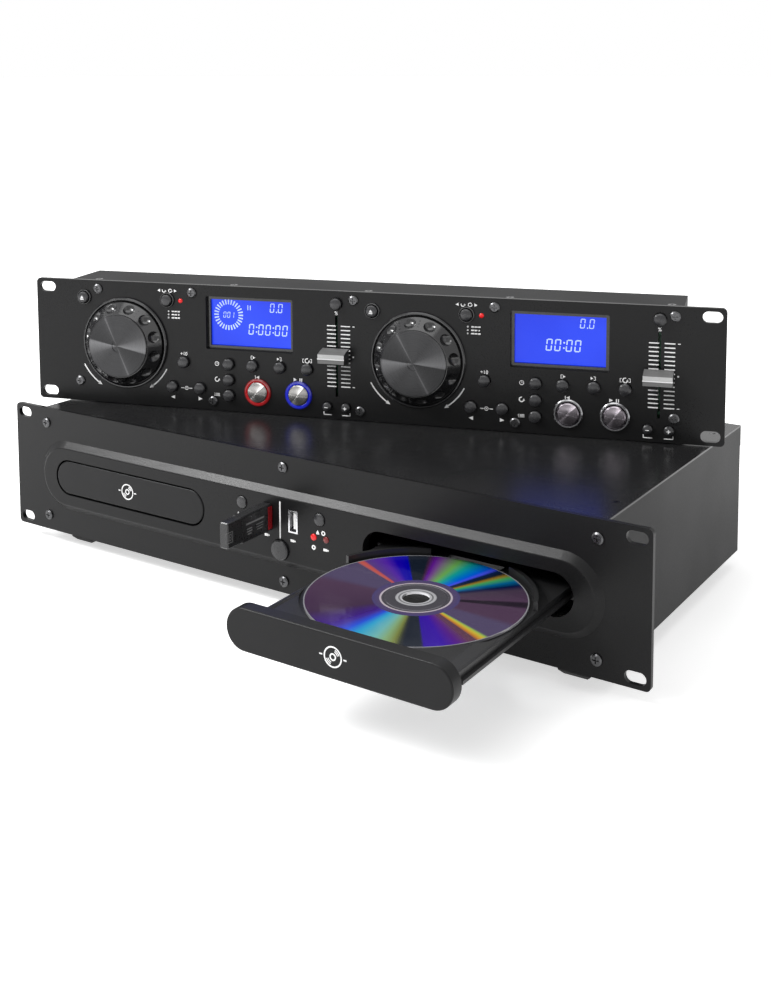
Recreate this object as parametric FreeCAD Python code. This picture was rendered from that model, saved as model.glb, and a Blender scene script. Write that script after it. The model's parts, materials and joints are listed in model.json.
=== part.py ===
import FreeCAD, Part
import math
import os
from FreeCAD import Placement, Rotation, Vector

# A dual disc player for a DJ booth: two 19-inch rack units, each two rack spaces high.
# The lower unit holds two motor-driven disc trays. The upper unit is its controller, with two decks of
# jog wheel, display, pitch fader and buttons, and it stands on the player's roof, turned a little.
# Millimetres. X runs right, Y runs back, Z runs up. The origin is the centre of the player's rack slots,
# on the front face of its panel. The controller is modelled about its own panel's centre, then placed.

# Rack standard, shared by both panels
PANEL_WIDTH = 482.6
PANEL_HEIGHT = 88.1
PANEL_THICK = 3.0
PANEL_CORNER = 3.0
SLOT_FROM_EDGE = 8.75
SLOT_SPACING_Z = 76.2
SLOT_LENGTH = 12.4
SLOT_HEIGHT = 7.2

# Sheet metal and fits
SHEET = 1.2
EAR_WIDTH = 26.3
CASE_BELOW_PANEL_TOP = 0.5
CASE_ABOVE_PANEL_FOOT = 1.4
RUNNING_GAP = 0.4
SEAT_GAP = 0.3
SHAFT_GAP = 0.1
SCREW_GAP = 0.2

# Player
PLAYER_DEPTH = 220.0
FLANGE_DEPTH = 14.0
FRONT_FRAME_RIM = 14.0
PLATEAU_RISE = 3.5
PLATEAU_HALF_HEIGHT = 24.5
PLATEAU_SLOPE = 4.4
PLATEAU_WALL = 3.0
PLATEAU_Z = -1.6
FOOT_HEIGHT = 11.3
FOOT_WIDTH = 20.3
FOOT_CORNER = 1.5
FOOT_CHAMFER = 3.0
FOOT_RECESS_RADIUS = 3.4
FOOT_FROM_SIDE = 23.3
FOOT_INSET = 19.0
PLAYER_SCREW_FROM_SIDE = 4.5
PLAYER_SCREW_Z = 33.5
PLAYER_MID_SCREW_Z = 36.5
ROOF_SCREW_FROM_SIDE = 8.0
ROOF_SCREW_INSET = 29.0

# Trays
DECK_FROM_SIDE = 85.0
DOOR_HALF_LENGTH = 67.3
DOOR_HALF_HEIGHT = 11.5
DOOR_GAP = 1.1
DOOR_THICK = 8.0
DOOR_EDGE = 0.9
TRAY_HALF_WIDTH = 61.0
TRAY_LENGTH = 165.0
TRAY_FLOOR = 2.2
TRAY_FRONT_RISE = 2.0
TRAY_FRONT_HALF_WIDTH = 59.5
TRAY_FRONT_BEVEL = 5.5
SKIRT_DROP = 5.5
SKIRT_THICK = 2.0
RUNNER_WIDTH = 2.2
RUNNER_HEIGHT = 1.8
POCKET_RADIUS = 62.4
POCKET_ARC_THICK = 2.4
POCKET_ARC_RISE = 4.9
POCKET_ARC_FROM = 20.0
POCKET_ARC_TO = 66.0
SMALL_POCKET_RADIUS = 40.5
SMALL_POCKET_DEPTH = 0.8
PICKUP_SLOT_HALF_WIDTH = 18.0
PICKUP_SLOT_LENGTH = 66.0
TRAY_FLOOR_Z = -0.05

# Disc
DISC_RADIUS = 60.0
DISC_HOLE_RADIUS = 7.5
DISC_THICK = 1.2
DISC_FROM_DOOR = 76.0
CLAMP_GROOVE_RADIUS = 17.0
CLAMP_GROOVE_HALF_WIDTH = 0.6
CLAMP_GROOVE_DEPTH = 0.15

# Tray drive: a pinion in the loader meshes with a rack under the tray
MODULE = 1.0
PINION_TEETH = 16
TRAVEL_IN_TEETH = 40
PRESSURE_ANGLE = 20.0
ADDENDUM = 0.95
DEDENDUM = 1.25
BACKLASH = 0.12
RACK_X = 48.0
RACK_BACK = 3.0
RACK_DEPTH = 4.0
PINION_Y = 22.0
PINION_THICK = 3.4
PINION_PIN_RADIUS = 2.0

# Loader frame
LOADER_FRONT = 9.0
LOADER_LENGTH = 168.0
LOADER_WALL = 2.4
LOADER_FLOOR_Z = -22.0
LOADER_FLOOR_THICK = 2.0
GUIDE_LIP = 2.0
CLAMP_WALL_LENGTH = 34.0
CLAMP_BRIDGE_Z = 7.6
CLAMP_BRIDGE_THICK = 1.6
CLAMP_PUCK_RADIUS = 15.0
CLAMP_PUCK_THICK = 1.4
SPINDLE_MOTOR_RADIUS = 14.0
TURNTABLE_RADIUS = 13.0
GUIDE_ROD_RADIUS = 1.5
SPINDLE_RADIUS = 2.0
SPINDLE_LENGTH = 4.0
TURNTABLE_THICK = 1.5
TURNTABLE_DROP = 0.5
SLED_DROP = 3.0
LENS_RADIUS = 3.0
LENS_RISE = 2.0

# Player's middle controls
SOURCE_BUTTON_X = 30.2
SOURCE_BUTTON_Z = 9.9
SOURCE_BUTTON_RADIUS = 3.9
POWER_BUTTON_Z = -15.0
POWER_BUTTON_RADIUS = 6.4
POWER_BUTTON_PROUD = 2.0
SOURCE_BUTTON_PROUD = 1.0
USB_X = 10.1
USB_Z = 4.7
USB_SHELL_WIDTH = 7.0
USB_SHELL_HEIGHT = 14.2
USB_MOUTH_WIDTH = 5.1
USB_MOUTH_HEIGHT = 12.6
USB_TONGUE_WIDTH = 1.8
USB_TONGUE_HEIGHT = 10.2
PLAYER_LED_X = 30.4
PLAYER_LED_SPACING = 9.4
PLAYER_LED_Z = -1.8
PLAYER_LED_RADIUS = 2.0
FRONT_BOARD_Y = 16.0
FRONT_BOARD_HALF_WIDTH = 40.0
FRONT_BOARD_TOP = 18.0
MAIN_BOARD_Z = -34.0
MAIN_BOARD_FROM_DECK = 80.0
MAIN_BOARD_POST_INSET = 6.0
MAIN_BOARD_POSTS_Y = (30.0, 200.0)
TRANSFORMER_SIZE = (56.0, 48.0, 40.0)
TRANSFORMER_Y = 144.0
CAPACITOR_X = (-22.0, 0.0, 22.0)
CAPACITOR_Y = 100.0
CAPACITOR_RADIUS = 8.0
CAPACITOR_HEIGHT = 25.0
CHIP_HALF = 9.0
CHIP_Y = 67.0
CHIP_HEIGHT = 2.4

# Memory stick
STICK_LENGTH = 41.0
STICK_WIDTH = 7.6
STICK_HEIGHT = 17.0
STICK_CORNER = 1.2
STICK_GRIP_LENGTH = 13.0
STICK_STEP = 0.5
STICK_COLLAR_LENGTH = 3.5
STICK_COLLAR_HEIGHT = 15.0
STICK_PLUG_LENGTH = 12.0
STICK_PLUG_WIDTH = 4.5
STICK_PLUG_HEIGHT = 12.0
STICK_PLUG_WALL = 0.35

# Rear sockets
REAR_SOCKET_Z = -8.0
SOCKET_BODY_DEPTH = 12.0
PHONO_X = (54.0, 70.0, 92.0)
PHONO_RADIUS = 4.2
PHONO_BORE_RADIUS = 1.8
PHONO_LENGTH = 9.0
LINK_X = (-18.0, 18.0)
LINK_RADIUS = 6.8
LINK_BORE_RADIUS = 5.0
LINK_BORE_DEPTH = 6.0
LINK_PROUD = 1.5
INLET_X = 165.0
INLET_PINS = ((-7.0, -3.0), (7.0, -3.0), (0.0, 4.0))
INLET_PIN_HALF_WIDTH = 1.0
INLET_PIN_HALF_HEIGHT = 2.0
INLET_WIDTH = 27.0
INLET_HEIGHT = 19.5
INLET_WALL = 1.4
INLET_CAVITY_DEPTH = 14.0

# Controller
CONTROLLER_TURN = 17.4
CONTROLLER_X = -6.8
CONTROLLER_Y = 90.6
CONTROLLER_DEPTH = 46.0
CONTROLLER_CASE_MARGIN = 8.0
CONTROLLER_PAD_DROP = 0.3
PAD_RADIUS = 6.0
PAD_INSET = 14.0
DECK_GAP = 11.6
LEFT_JOG_X = -171.7
JOG_RADIUS = 29.6
JOG_RIM_PROUD = 3.2
JOG_CAP_RADIUS = 22.2
JOG_CAP_PROUD = 12.6
JOG_CAP_STEP = 1.2
JOG_FLOOR = 1.0
JOG_HUB_RADIUS = 4.4
JOG_DIMPLES = 12
JOG_TURNS = (15.0, 8.0)
JOG_DIMPLE_SPHERE = 5.6
JOG_DIMPLE_DEPTH = 2.0
JOG_SHAFT_RADIUS = 3.0
JOG_CAP_LEDGE = 0.5
BEZEL_INNER_RADIUS = 30.4
BEZEL_OUTER_RADIUS = 32.6
BEZEL_PROUD = 2.2
BUTTON_RADIUS = 4.0
BUTTON_PROUD = 3.2
BUTTON_CROWN = 0.5
BUTTON_EDGE = 0.7
BUTTON_TRAVEL = 1.0
BUTTON_FLANGE = 0.9
BUTTON_FLANGE_THICK = 1.2
BUTTON_STEM_RADIUS = 1.4
BEND_BUTTON_RADIUS = 3.1
TRANSPORT_RADIUS = 7.2
TRANSPORT_PROUD = 2.8
RING_WIDTH = 2.0
RING_PROUD = 2.0
RING_NECK = 0.9
COLLAR_WIDTH = 1.0
COLLAR_PROUD = 1.4
WINDOW_WIDTH = 64.1
WINDOW_HEIGHT = 37.3
WINDOW_CORNER = 1.2
LCD_WIDTH = 59.4
LCD_HEIGHT = 32.6
LCD_DEPTH = 2.4
DISPLAY_BORDER = 2.4
DISPLAY_THICK = 6.0
FADER_SLOT_WIDTH = 1.8
FADER_SLOT_LENGTH = 55.7
FADER_X = 157.5
FADER_Z = -0.8
FADER_CAP_WIDTH = 18.4
FADER_CAP_HEIGHT = 10.4
FADER_CAP_PROUD = 13.0
FADER_CAP_FACE = 6.2
FADER_CAP_WAIST = 0.6
FADER_CAP_TAPER = 0.85
FADER_RESTS = (0.6, -1.0)
FADER_TRAVEL = 20.8
FADER_TRACK_HALF_WIDTH = 4.0
FADER_TRACK_WALL = 2.0
FADER_LEVER_THICK = 1.2
FADER_LEVER_HEIGHT = 4.0
CONTROLLER_LED_RADIUS = 1.5
BOARD_Y = 12.0
BOARD_THICK = 1.6
BOARD_MARGIN = 2.4
SWITCH_SIZE = 6.0
SWITCH_HEIGHT = 3.0
SPACER_RADIUS = 3.0

# Screws
PANEL_SCREW_HEAD = 3.4
ROOF_SCREW_HEAD = 2.7
SCREW_HEAD_THICK = 1.5
SCREW_SHANK = 1.5
PANEL_SCREW_LENGTH = 7.0
ROOF_SCREW_LENGTH = 3.0
SCREW_SLOT = 0.7
SCREW_DOME = 0.6
SCREW_FLAT = 0.75
SCREW_RECESS = 0.55
SCREW_RECESS_DEPTH = 1.0

# Button places on one deck: X from the jog wheel's axis, Z from the panel's middle, and the kind of button
DECK_BUTTONS = {
    "eject": (-31.6, 31.7, "collared"),
    "jog_mode": (33.0, 32.3, "collared"),
    "plus_ten": (45.0, -11.2, "plain"),
    "track_back": (36.1, -29.2, "plain"),
    "track_forward": (57.1, -29.2, "plain"),
    "time": (78.9, -10.9, "plain"),
    "repeat": (78.9, -22.0, "plain"),
    "program": (78.9, -32.9, "plain"),
    "loop_in": (96.5, -11.1, "plain"),
    "loop_out": (116.6, -11.1, "plain"),
    "reloop": (136.5, -11.1, "plain"),
    "pitch": (157.6, 35.2, "plain"),
    "cue": (100.2, -29.3, "transport"),
    "play": (130.1, -29.3, "transport"),
    "bend_down": (151.0, -35.8, "small"),
    "bend_up": (164.2, -35.8, "small"),
}
BUTTON_RADII = {"plain": BUTTON_RADIUS, "collared": BUTTON_RADIUS, "small": BEND_BUTTON_RADIUS,
                "transport": TRANSPORT_RADIUS}
DECK_LED = (42.9, 32.1)
WINDOW_CENTRE = (94.0, 17.7)
# Panel screws near the case's sides: which side, distance in from the case's side, and Z
CONTROLLER_SIDE_SCREWS = [(-1, 22.5, 38.0), (1, 5.3, 37.6), (-1, 7.0, -29.4), (1, 5.0, -28.1)]
CONTROLLER_MIDDLE_SCREWS = [(-120.0, 38.0), (-2.0, 38.0), (94.5, 38.0),
                            (-105.0, -37.7), (2.3, -37.7), (108.4, -37.9)]
CONTROLLER_ROOF_SCREWS_FROM_SIDE = (19.0, 8.0)
CONTROLLER_ROOF_MIDDLE_SCREWS_X = [-92.0, 6.0, 103.0]
CONTROLLER_ROOF_SCREW_Y = 9.0

# Worked out from the sizes above
PANEL_TOP = PANEL_HEIGHT / 2
SLOT_SPACING_X = PANEL_WIDTH - 2 * SLOT_FROM_EDGE
ROOF_Z = PANEL_TOP - CASE_BELOW_PANEL_TOP
CASE_FOOT_Z = CASE_ABOVE_PANEL_FOOT - PANEL_TOP
CASE_HALF = PANEL_WIDTH / 2 - EAR_WIDTH
PLATEAU_HALF_LENGTH = CASE_HALF
DECK_X = CASE_HALF - DECK_FROM_SIDE
MAIN_BOARD_HALF_WIDTH = DECK_X - MAIN_BOARD_FROM_DECK
MAIN_BOARD_POST_X = MAIN_BOARD_HALF_WIDTH - MAIN_BOARD_POST_INSET
PLATEAU_FRONT = -PLATEAU_RISE
PLATEAU_BACK = PLATEAU_FRONT + PLATEAU_WALL
MOUTH_HALF_LENGTH = DOOR_HALF_LENGTH + DOOR_GAP
MOUTH_HALF_HEIGHT = DOOR_HALF_HEIGHT + DOOR_GAP
TOOTH_PITCH = math.pi * MODULE
PITCH_RADIUS = MODULE * PINION_TEETH / 2
TRAY_TRAVEL = TRAVEL_IN_TEETH * TOOTH_PITCH
CONTROLLER_Z = ROOF_Z + SEAT_GAP + CONTROLLER_PAD_DROP + PANEL_TOP
DECK_RIGHT_REACH = DECK_BUTTONS["bend_up"][0] + BEND_BUTTON_RADIUS
DECK_LEFT_REACH = BUTTON_RADIUS - DECK_BUTTONS["eject"][0]
JOGS_X = (LEFT_JOG_X, LEFT_JOG_X + DECK_RIGHT_REACH + DECK_GAP + DECK_LEFT_REACH)
CONTROLLER_HALF = JOGS_X[1] + DECK_BUTTONS["bend_up"][0] + CONTROLLER_CASE_MARGIN
SWITCH_TOP = BOARD_Y - SWITCH_HEIGHT


def box(x0, x1, y0, y1, z0, z1):
    return Part.makeBox(x1 - x0, y1 - y0, z1 - z0, Vector(x0, y0, z0))


def rod_y(x, z, radius, y0, y1):
    return Part.makeCylinder(radius, y1 - y0, Vector(x, y0, z), Vector(0, 1, 0))


def rod_z(x, y, radius, z0, z1):
    return Part.makeCylinder(radius, z1 - z0, Vector(x, y, z0), Vector(0, 0, 1))


def moved(shape, x=0.0, y=0.0, z=0.0):
    return shape.translated(Vector(x, y, z))


def stadium_wire(x, z, half_length, half_height, y):
    """A slot outline in a plane of constant Y: two level sides joined by half circles."""
    straight = half_length - half_height
    top, foot = z + half_height, z - half_height
    left, right = x - straight, x + straight
    return Part.Wire([
        Part.LineSegment(Vector(left, y, top), Vector(right, y, top)).toShape(),
        Part.Arc(Vector(right, y, top), Vector(right + half_height, y, z), Vector(right, y, foot)).toShape(),
        Part.LineSegment(Vector(right, y, foot), Vector(left, y, foot)).toShape(),
        Part.Arc(Vector(left, y, foot), Vector(left - half_height, y, z), Vector(left, y, top)).toShape()])


def stadium(x, z, half_length, half_height, y0, y1):
    return Part.Face(stadium_wire(x, z, half_length, half_height, y0)).extrude(Vector(0, y1 - y0, 0))


def rounded_plate(width, height, corner, y0, y1, x=0.0, z=0.0):
    plate = box(x - width / 2, x + width / 2, y0, y1, z - height / 2, z + height / 2)
    upright = [e for e in plate.Edges if abs(e.tangentAt(e.FirstParameter).y) > 0.99]
    return plate.makeFillet(corner, upright)


def turned(profile, x, y, z, axis):
    """Turn a closed profile of (radius, height) points; a point with a third value ends an arc through
    the point before it, which then only guides the arc. Height runs along axis from (x, y, z)."""
    edges, start, index = [], profile[0], 1
    points = profile + [profile[0]]
    while index < len(points):
        if index + 1 < len(points) and len(points[index + 1]) == 3:
            middle, end = points[index], points[index + 1]
            edges.append(Part.Arc(*[Vector(p[0], 0, p[1]) for p in (start, middle, end)]).toShape())
            start, index = end, index + 2
        else:
            end = points[index]
            edges.append(Part.LineSegment(Vector(start[0], 0, start[1]), Vector(end[0], 0, end[1])).toShape())
            start, index = end, index + 1
    solid = Part.Face(Part.Wire(edges)).revolve(Vector(0, 0, 0), Vector(0, 0, 1), 360)
    solid.Placement = Placement(Vector(x, y, z), Rotation(Vector(0, 0, 1), axis))
    return solid


def crown(radius, base, rise):
    """Points for turned() that close a profile over the axis with a spherical crown on a flat of radius."""
    sphere = (radius ** 2 + rise ** 2) / (2 * rise)
    half_turn = math.asin(radius / sphere) / 2
    centre = base + rise - sphere
    return [(sphere * math.sin(half_turn), centre + sphere * math.cos(half_turn)), (0, base + rise, "arc")]


def fuse(shapes):
    joined = shapes[0].multiFuse(shapes[1:]) if len(shapes) > 1 else shapes[0]
    return joined.removeSplitter()


def rack_slots():
    half = SLOT_HEIGHT / 2
    return [stadium(side * SLOT_SPACING_X / 2, row * SLOT_SPACING_Z / 2, SLOT_LENGTH / 2, half,
                    -PANEL_THICK, 2 * PANEL_THICK) for side in (-1, 1) for row in (-1, 1)]


def rack_plate():
    return rounded_plate(PANEL_WIDTH, PANEL_HEIGHT, PANEL_CORNER, 0, PANEL_THICK).cut(rack_slots())


def cross_recessed(body, head_radius, crest, x, y, z, out):
    """Cut a cross into a screw's head, whose crest stands at this height above (x, y, z) along out."""
    recess = []
    arm = head_radius * SCREW_RECESS
    for along, across in ((arm, SCREW_SLOT / 2), (SCREW_SLOT / 2, arm)):
        bar = box(-along, along, -across, across, crest - SCREW_RECESS_DEPTH, crest + SCREW_HEAD_THICK)
        bar.Placement = Placement(Vector(x, y, z), Rotation(Vector(0, 0, 1), out))
        recess.append(bar)
    return body.cut(recess)


def panel_screw(x, z):
    """A pan-head screw with a cross recess, its head on a panel's front face."""
    out = Vector(0, -1, 0)
    flat = PANEL_SCREW_HEAD * SCREW_FLAT
    body = turned([(0, -PANEL_SCREW_LENGTH), (SCREW_SHANK, -PANEL_SCREW_LENGTH), (SCREW_SHANK, 0),
                   (PANEL_SCREW_HEAD, 0), (PANEL_SCREW_HEAD, SCREW_HEAD_THICK - SCREW_DOME),
                   (flat, SCREW_HEAD_THICK), (0, SCREW_HEAD_THICK)], x, 0, z, out)
    return cross_recessed(body, PANEL_SCREW_HEAD, SCREW_HEAD_THICK, x, 0, z, out)


def roof_screw(x, y, z):
    """A countersunk screw, its head sunk flush with a sheet roof at height z."""
    out = Vector(0, 0, 1)
    sunk = ROOF_SCREW_HEAD - SCREW_SHANK
    body = turned([(0, -ROOF_SCREW_LENGTH), (SCREW_SHANK, -ROOF_SCREW_LENGTH), (SCREW_SHANK, -sunk),
                   (ROOF_SCREW_HEAD, 0), (0, 0)], x, y, z, out)
    return cross_recessed(body, ROOF_SCREW_HEAD, 0, x, y, z, out)


def roof_screw_hole(x, y, z):
    """The countersunk hole for a roof screw, through a roof at height z and the flange under it."""
    bore = SCREW_SHANK + SCREW_GAP
    mouth = ROOF_SCREW_HEAD + SCREW_GAP
    return turned([(0, -4 * SHEET), (bore, -4 * SHEET), (bore, bore - mouth), (mouth, 0), (mouth, SHEET),
                   (0, SHEET)], x, y, z, Vector(0, 0, 1))


def push_button(x, z, radius, proud, front, back, switch_top, travel):
    """A button that slides in Y through a wall from front to back, with a flange that keeps it in."""
    tip, stem_end = front - proud, switch_top - travel - SCREW_GAP
    flange = back + SEAT_GAP
    edge = min(BUTTON_EDGE, proud / 2)
    profile = [(0, -stem_end), (BUTTON_STEM_RADIUS, -stem_end),
               (BUTTON_STEM_RADIUS, -flange - BUTTON_FLANGE_THICK),
               (radius + BUTTON_FLANGE, -flange - BUTTON_FLANGE_THICK), (radius + BUTTON_FLANGE, -flange),
               (radius, -flange), (radius, -tip - edge), (radius - edge, -tip)]
    return turned(profile + crown(radius - edge, -tip, BUTTON_CROWN), x, 0, z, Vector(0, -1, 0))


# ---------------------------------------------------------------- player: panel and case

def player_screw_places():
    sides = [(side * (CASE_HALF - PLAYER_SCREW_FROM_SIDE), row * PLAYER_SCREW_Z)
             for side in (-1, 1) for row in (-1, 1)]
    return sides + [(0, PLAYER_MID_SCREW_Z), (0, -PLAYER_MID_SCREW_Z)]


def roof_screw_places():
    near = PANEL_THICK + ROOF_SCREW_INSET
    far = PLAYER_DEPTH - ROOF_SCREW_INSET
    return [(side * (CASE_HALF - ROOF_SCREW_FROM_SIDE), y) for side in (-1, 1) for y in (near, far)]


def led_places():
    return [(PLAYER_LED_X + side * PLAYER_LED_SPACING / 2, PLAYER_LED_Z) for side in (-1, 1)]


def player_front_panel():
    """The rack plate with a long raised plateau, hollow behind, that holds both tray mouths."""
    half_length, half_height = PLATEAU_HALF_LENGTH, PLATEAU_HALF_HEIGHT
    foot = stadium_wire(0, PLATEAU_Z, half_length, half_height, 0)
    crest = stadium_wire(0, PLATEAU_Z, half_length - PLATEAU_SLOPE, half_height - PLATEAU_SLOPE,
                         PLATEAU_FRONT)
    hill = Part.makeLoft([foot, crest], True, True)
    inset = PLATEAU_SLOPE + PLATEAU_WALL
    hollow = stadium(0, PLATEAU_Z, half_length - inset, half_height - inset, PLATEAU_BACK, PANEL_THICK)
    rims = [stadium(side * DECK_X, PLATEAU_Z, MOUTH_HALF_LENGTH + SHEET, MOUTH_HALF_HEIGHT + SHEET,
                    PLATEAU_BACK, PANEL_THICK) for side in (-1, 1)]
    panel = fuse([fuse([rack_plate(), hill]).cut(hollow)] + rims)
    crest_edges = [e for e in panel.Edges
                   if e.BoundBox.YMax < PLATEAU_FRONT + 0.01 and e.BoundBox.YMin > PLATEAU_FRONT - 0.01]
    panel = panel.makeFillet(PLATEAU_RISE / 2, crest_edges)
    cuts = [stadium(side * DECK_X, PLATEAU_Z, MOUTH_HALF_LENGTH, MOUTH_HALF_HEIGHT,
                    2 * PLATEAU_FRONT, 2 * PANEL_THICK) for side in (-1, 1)]
    for side in (-1, 1):
        cuts.append(rod_y(side * SOURCE_BUTTON_X, SOURCE_BUTTON_Z, SOURCE_BUTTON_RADIUS + RUNNING_GAP,
                          2 * PLATEAU_FRONT, PANEL_THICK))
        cuts.append(box(side * USB_X - USB_SHELL_WIDTH / 2 - SCREW_GAP,
                        side * USB_X + USB_SHELL_WIDTH / 2 + SCREW_GAP, 2 * PLATEAU_FRONT, PANEL_THICK,
                        USB_Z - USB_SHELL_HEIGHT / 2 - SCREW_GAP, USB_Z + USB_SHELL_HEIGHT / 2 + SCREW_GAP))
    cuts.append(rod_y(0, POWER_BUTTON_Z, POWER_BUTTON_RADIUS + RUNNING_GAP, 2 * PLATEAU_FRONT, PANEL_THICK))
    cuts.append(rod_y(0, POWER_BUTTON_Z, POWER_BUTTON_RADIUS + BUTTON_FLANGE + RUNNING_GAP, PLATEAU_BACK,
                      PANEL_THICK))
    for x, z in led_places():
        cuts.append(rod_y(x, z, PLAYER_LED_RADIUS + SCREW_GAP, 2 * PLATEAU_FRONT, PANEL_THICK))
    for x, z in player_screw_places():
        cuts.append(rod_y(x, z, SCREW_SHANK + SCREW_GAP, -PANEL_THICK, 2 * PANEL_THICK))
    return panel.cut(cuts)


def phono_places():
    return [(side * x, REAR_SOCKET_Z) for side in (-1, 1) for x in PHONO_X]


def player_chassis():
    """Floor, sides and rear folded from one sheet, a front frame behind the panel, and roof flanges."""
    top = ROOF_Z - SHEET
    front, back = PANEL_THICK, PLAYER_DEPTH
    shell = box(-CASE_HALF, CASE_HALF, front, back, CASE_FOOT_Z, top)
    inside = box(-CASE_HALF + SHEET, CASE_HALF - SHEET, front + SHEET, back - SHEET, CASE_FOOT_Z + SHEET, top)
    window = box(-CASE_HALF + FRONT_FRAME_RIM, CASE_HALF - FRONT_FRAME_RIM, 0, front + 2 * SHEET,
                 CASE_FOOT_Z + FRONT_FRAME_RIM, top - FRONT_FRAME_RIM)
    body = shell.cut([inside, window])
    flanges = [box(min(side * CASE_HALF, side * (CASE_HALF - FLANGE_DEPTH)),
                   max(side * CASE_HALF, side * (CASE_HALF - FLANGE_DEPTH)), front, back, top - SHEET, top)
               for side in (-1, 1)]
    body = fuse([body] + flanges)
    holes = [rod_y(x, z, SCREW_SHANK + SCREW_GAP, 0, front + 2 * SHEET) for x, z in player_screw_places()]
    holes += [roof_screw_hole(x, y, ROOF_Z) for x, y in roof_screw_places()]
    wall = back - 2 * SHEET
    holes += [rod_y(x, z, PHONO_RADIUS + SCREW_GAP, wall, back + SHEET) for x, z in phono_places()]
    holes += [rod_y(x, REAR_SOCKET_Z, LINK_RADIUS + SCREW_GAP, wall, back + SHEET) for x in LINK_X]
    x, z = INLET_X, REAR_SOCKET_Z
    holes.append(box(x - INLET_WIDTH / 2 - SCREW_GAP, x + INLET_WIDTH / 2 + SCREW_GAP, wall, back + SHEET,
                     z - INLET_HEIGHT / 2 - SCREW_GAP, z + INLET_HEIGHT / 2 + SCREW_GAP))
    return body.cut(holes)


def player_top_cover():
    """A flat lid on the chassis's flanges, with a short lip folded down behind the rear wall's top."""
    lid = box(-CASE_HALF, CASE_HALF, PANEL_THICK, PLAYER_DEPTH + SHEET, ROOF_Z - SHEET, ROOF_Z)
    lip = box(-CASE_HALF, CASE_HALF, PLAYER_DEPTH, PLAYER_DEPTH + SHEET, ROOF_Z - FLANGE_DEPTH, ROOF_Z)
    lid = fuse([lid, lip])
    folds = [e for e in lid.Edges if abs(e.BoundBox.YMin - PLAYER_DEPTH - SHEET) < 0.01
             and abs(e.BoundBox.ZMin - ROOF_Z) < 0.01]
    lid = lid.makeFillet(SHEET * 0.9, folds)
    return lid.cut([roof_screw_hole(x, y, ROOF_Z) for x, y in roof_screw_places()])


def foot_places():
    return [(side * (CASE_HALF - FOOT_FROM_SIDE), y) for side in (-1, 1)
            for y in (PANEL_THICK + FOOT_INSET, PLAYER_DEPTH - FOOT_INSET)]


def player_feet():
    """Four square rubber feet with chamfered lower edges and a screw recess underneath."""
    base = CASE_FOOT_Z - FOOT_HEIGHT
    half = FOOT_WIDTH / 2
    feet = []
    for x, y in foot_places():
        foot = box(x - half, x + half, y - half, y + half, base, CASE_FOOT_Z)
        foot = foot.makeChamfer(FOOT_CHAMFER, [e for e in foot.Edges if e.BoundBox.ZMax < base + 0.01])
        corners = [e for e in foot.Edges if e.BoundBox.ZLength > FOOT_HEIGHT / 2]
        foot = foot.makeFillet(FOOT_CORNER, corners)
        feet.append(foot.cut(rod_z(x, y, FOOT_RECESS_RADIUS, base, base + FOOT_HEIGHT / 2)))
    return feet


def player_screws():
    return ([panel_screw(x, z) for x, z in player_screw_places()]
            + [roof_screw(x, y, ROOF_Z) for x, y in roof_screw_places()])


# ---------------------------------------------------------------- player: trays, disc and loaders

def closed_disc_y():
    return PLATEAU_FRONT + DISC_FROM_DOOR


def rack():
    """A straight rack along Y whose teeth face -X, with a gap between teeth level with the pinion."""
    top = TRAY_FLOOR_Z - TRAY_FLOOR
    tip_x, root_x = RACK_X - ADDENDUM * MODULE, RACK_X + DEDENDUM * MODULE
    lean = math.tan(math.radians(PRESSURE_ANGLE))
    half = TOOTH_PITCH / 4 - BACKLASH / 2
    first, last = -2, TRAVEL_IN_TEETH + 3
    start = PINION_Y + (first - 0.5) * TOOTH_PITCH
    end = PINION_Y + (last + 0.5) * TOOTH_PITCH
    root_half = half + DEDENDUM * MODULE * lean
    tip_half = half - ADDENDUM * MODULE * lean
    points = [Vector(RACK_X + RACK_BACK, start, 0), Vector(root_x, start, 0)]
    for tooth in range(first, last):
        middle = PINION_Y + (tooth + 0.5) * TOOTH_PITCH
        points += [Vector(root_x, middle - root_half, 0), Vector(tip_x, middle - tip_half, 0),
                   Vector(tip_x, middle + tip_half, 0), Vector(root_x, middle + root_half, 0)]
    points += [Vector(root_x, end, 0), Vector(RACK_X + RACK_BACK, end, 0)]
    face = Part.Face(Part.makePolygon(points + [points[0]]))
    return moved(face.extrude(Vector(0, 0, RACK_DEPTH)), z=top - RACK_DEPTH)


def pinion_outline():
    """Involute teeth as short chords, with a tooth centred on +X."""
    base_radius = PITCH_RADIUS * math.cos(math.radians(PRESSURE_ANGLE))
    tip_radius, root_radius = PITCH_RADIUS + ADDENDUM * MODULE, PITCH_RADIUS - DEDENDUM * MODULE

    def involute(radius):
        if radius <= base_radius:
            return 0.0
        turn = math.sqrt((radius / base_radius) ** 2 - 1)
        return turn - math.atan(turn)

    half_at_pitch = (TOOTH_PITCH / 2 - BACKLASH) / 2 / PITCH_RADIUS
    steps = [root_radius, base_radius, PITCH_RADIUS, (PITCH_RADIUS + tip_radius) / 2, tip_radius]
    flank = [(r, half_at_pitch + involute(PITCH_RADIUS) - involute(r)) for r in steps]
    points = []
    for tooth in range(PINION_TEETH):
        middle = 2 * math.pi * tooth / PINION_TEETH
        for radius, half in [(r, -h) for r, h in flank] + [(r, h) for r, h in reversed(flank)]:
            points.append(Vector(radius * math.cos(middle + half), radius * math.sin(middle + half), 0))
    return Part.Face(Part.makePolygon(points + [points[0]]))


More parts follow.
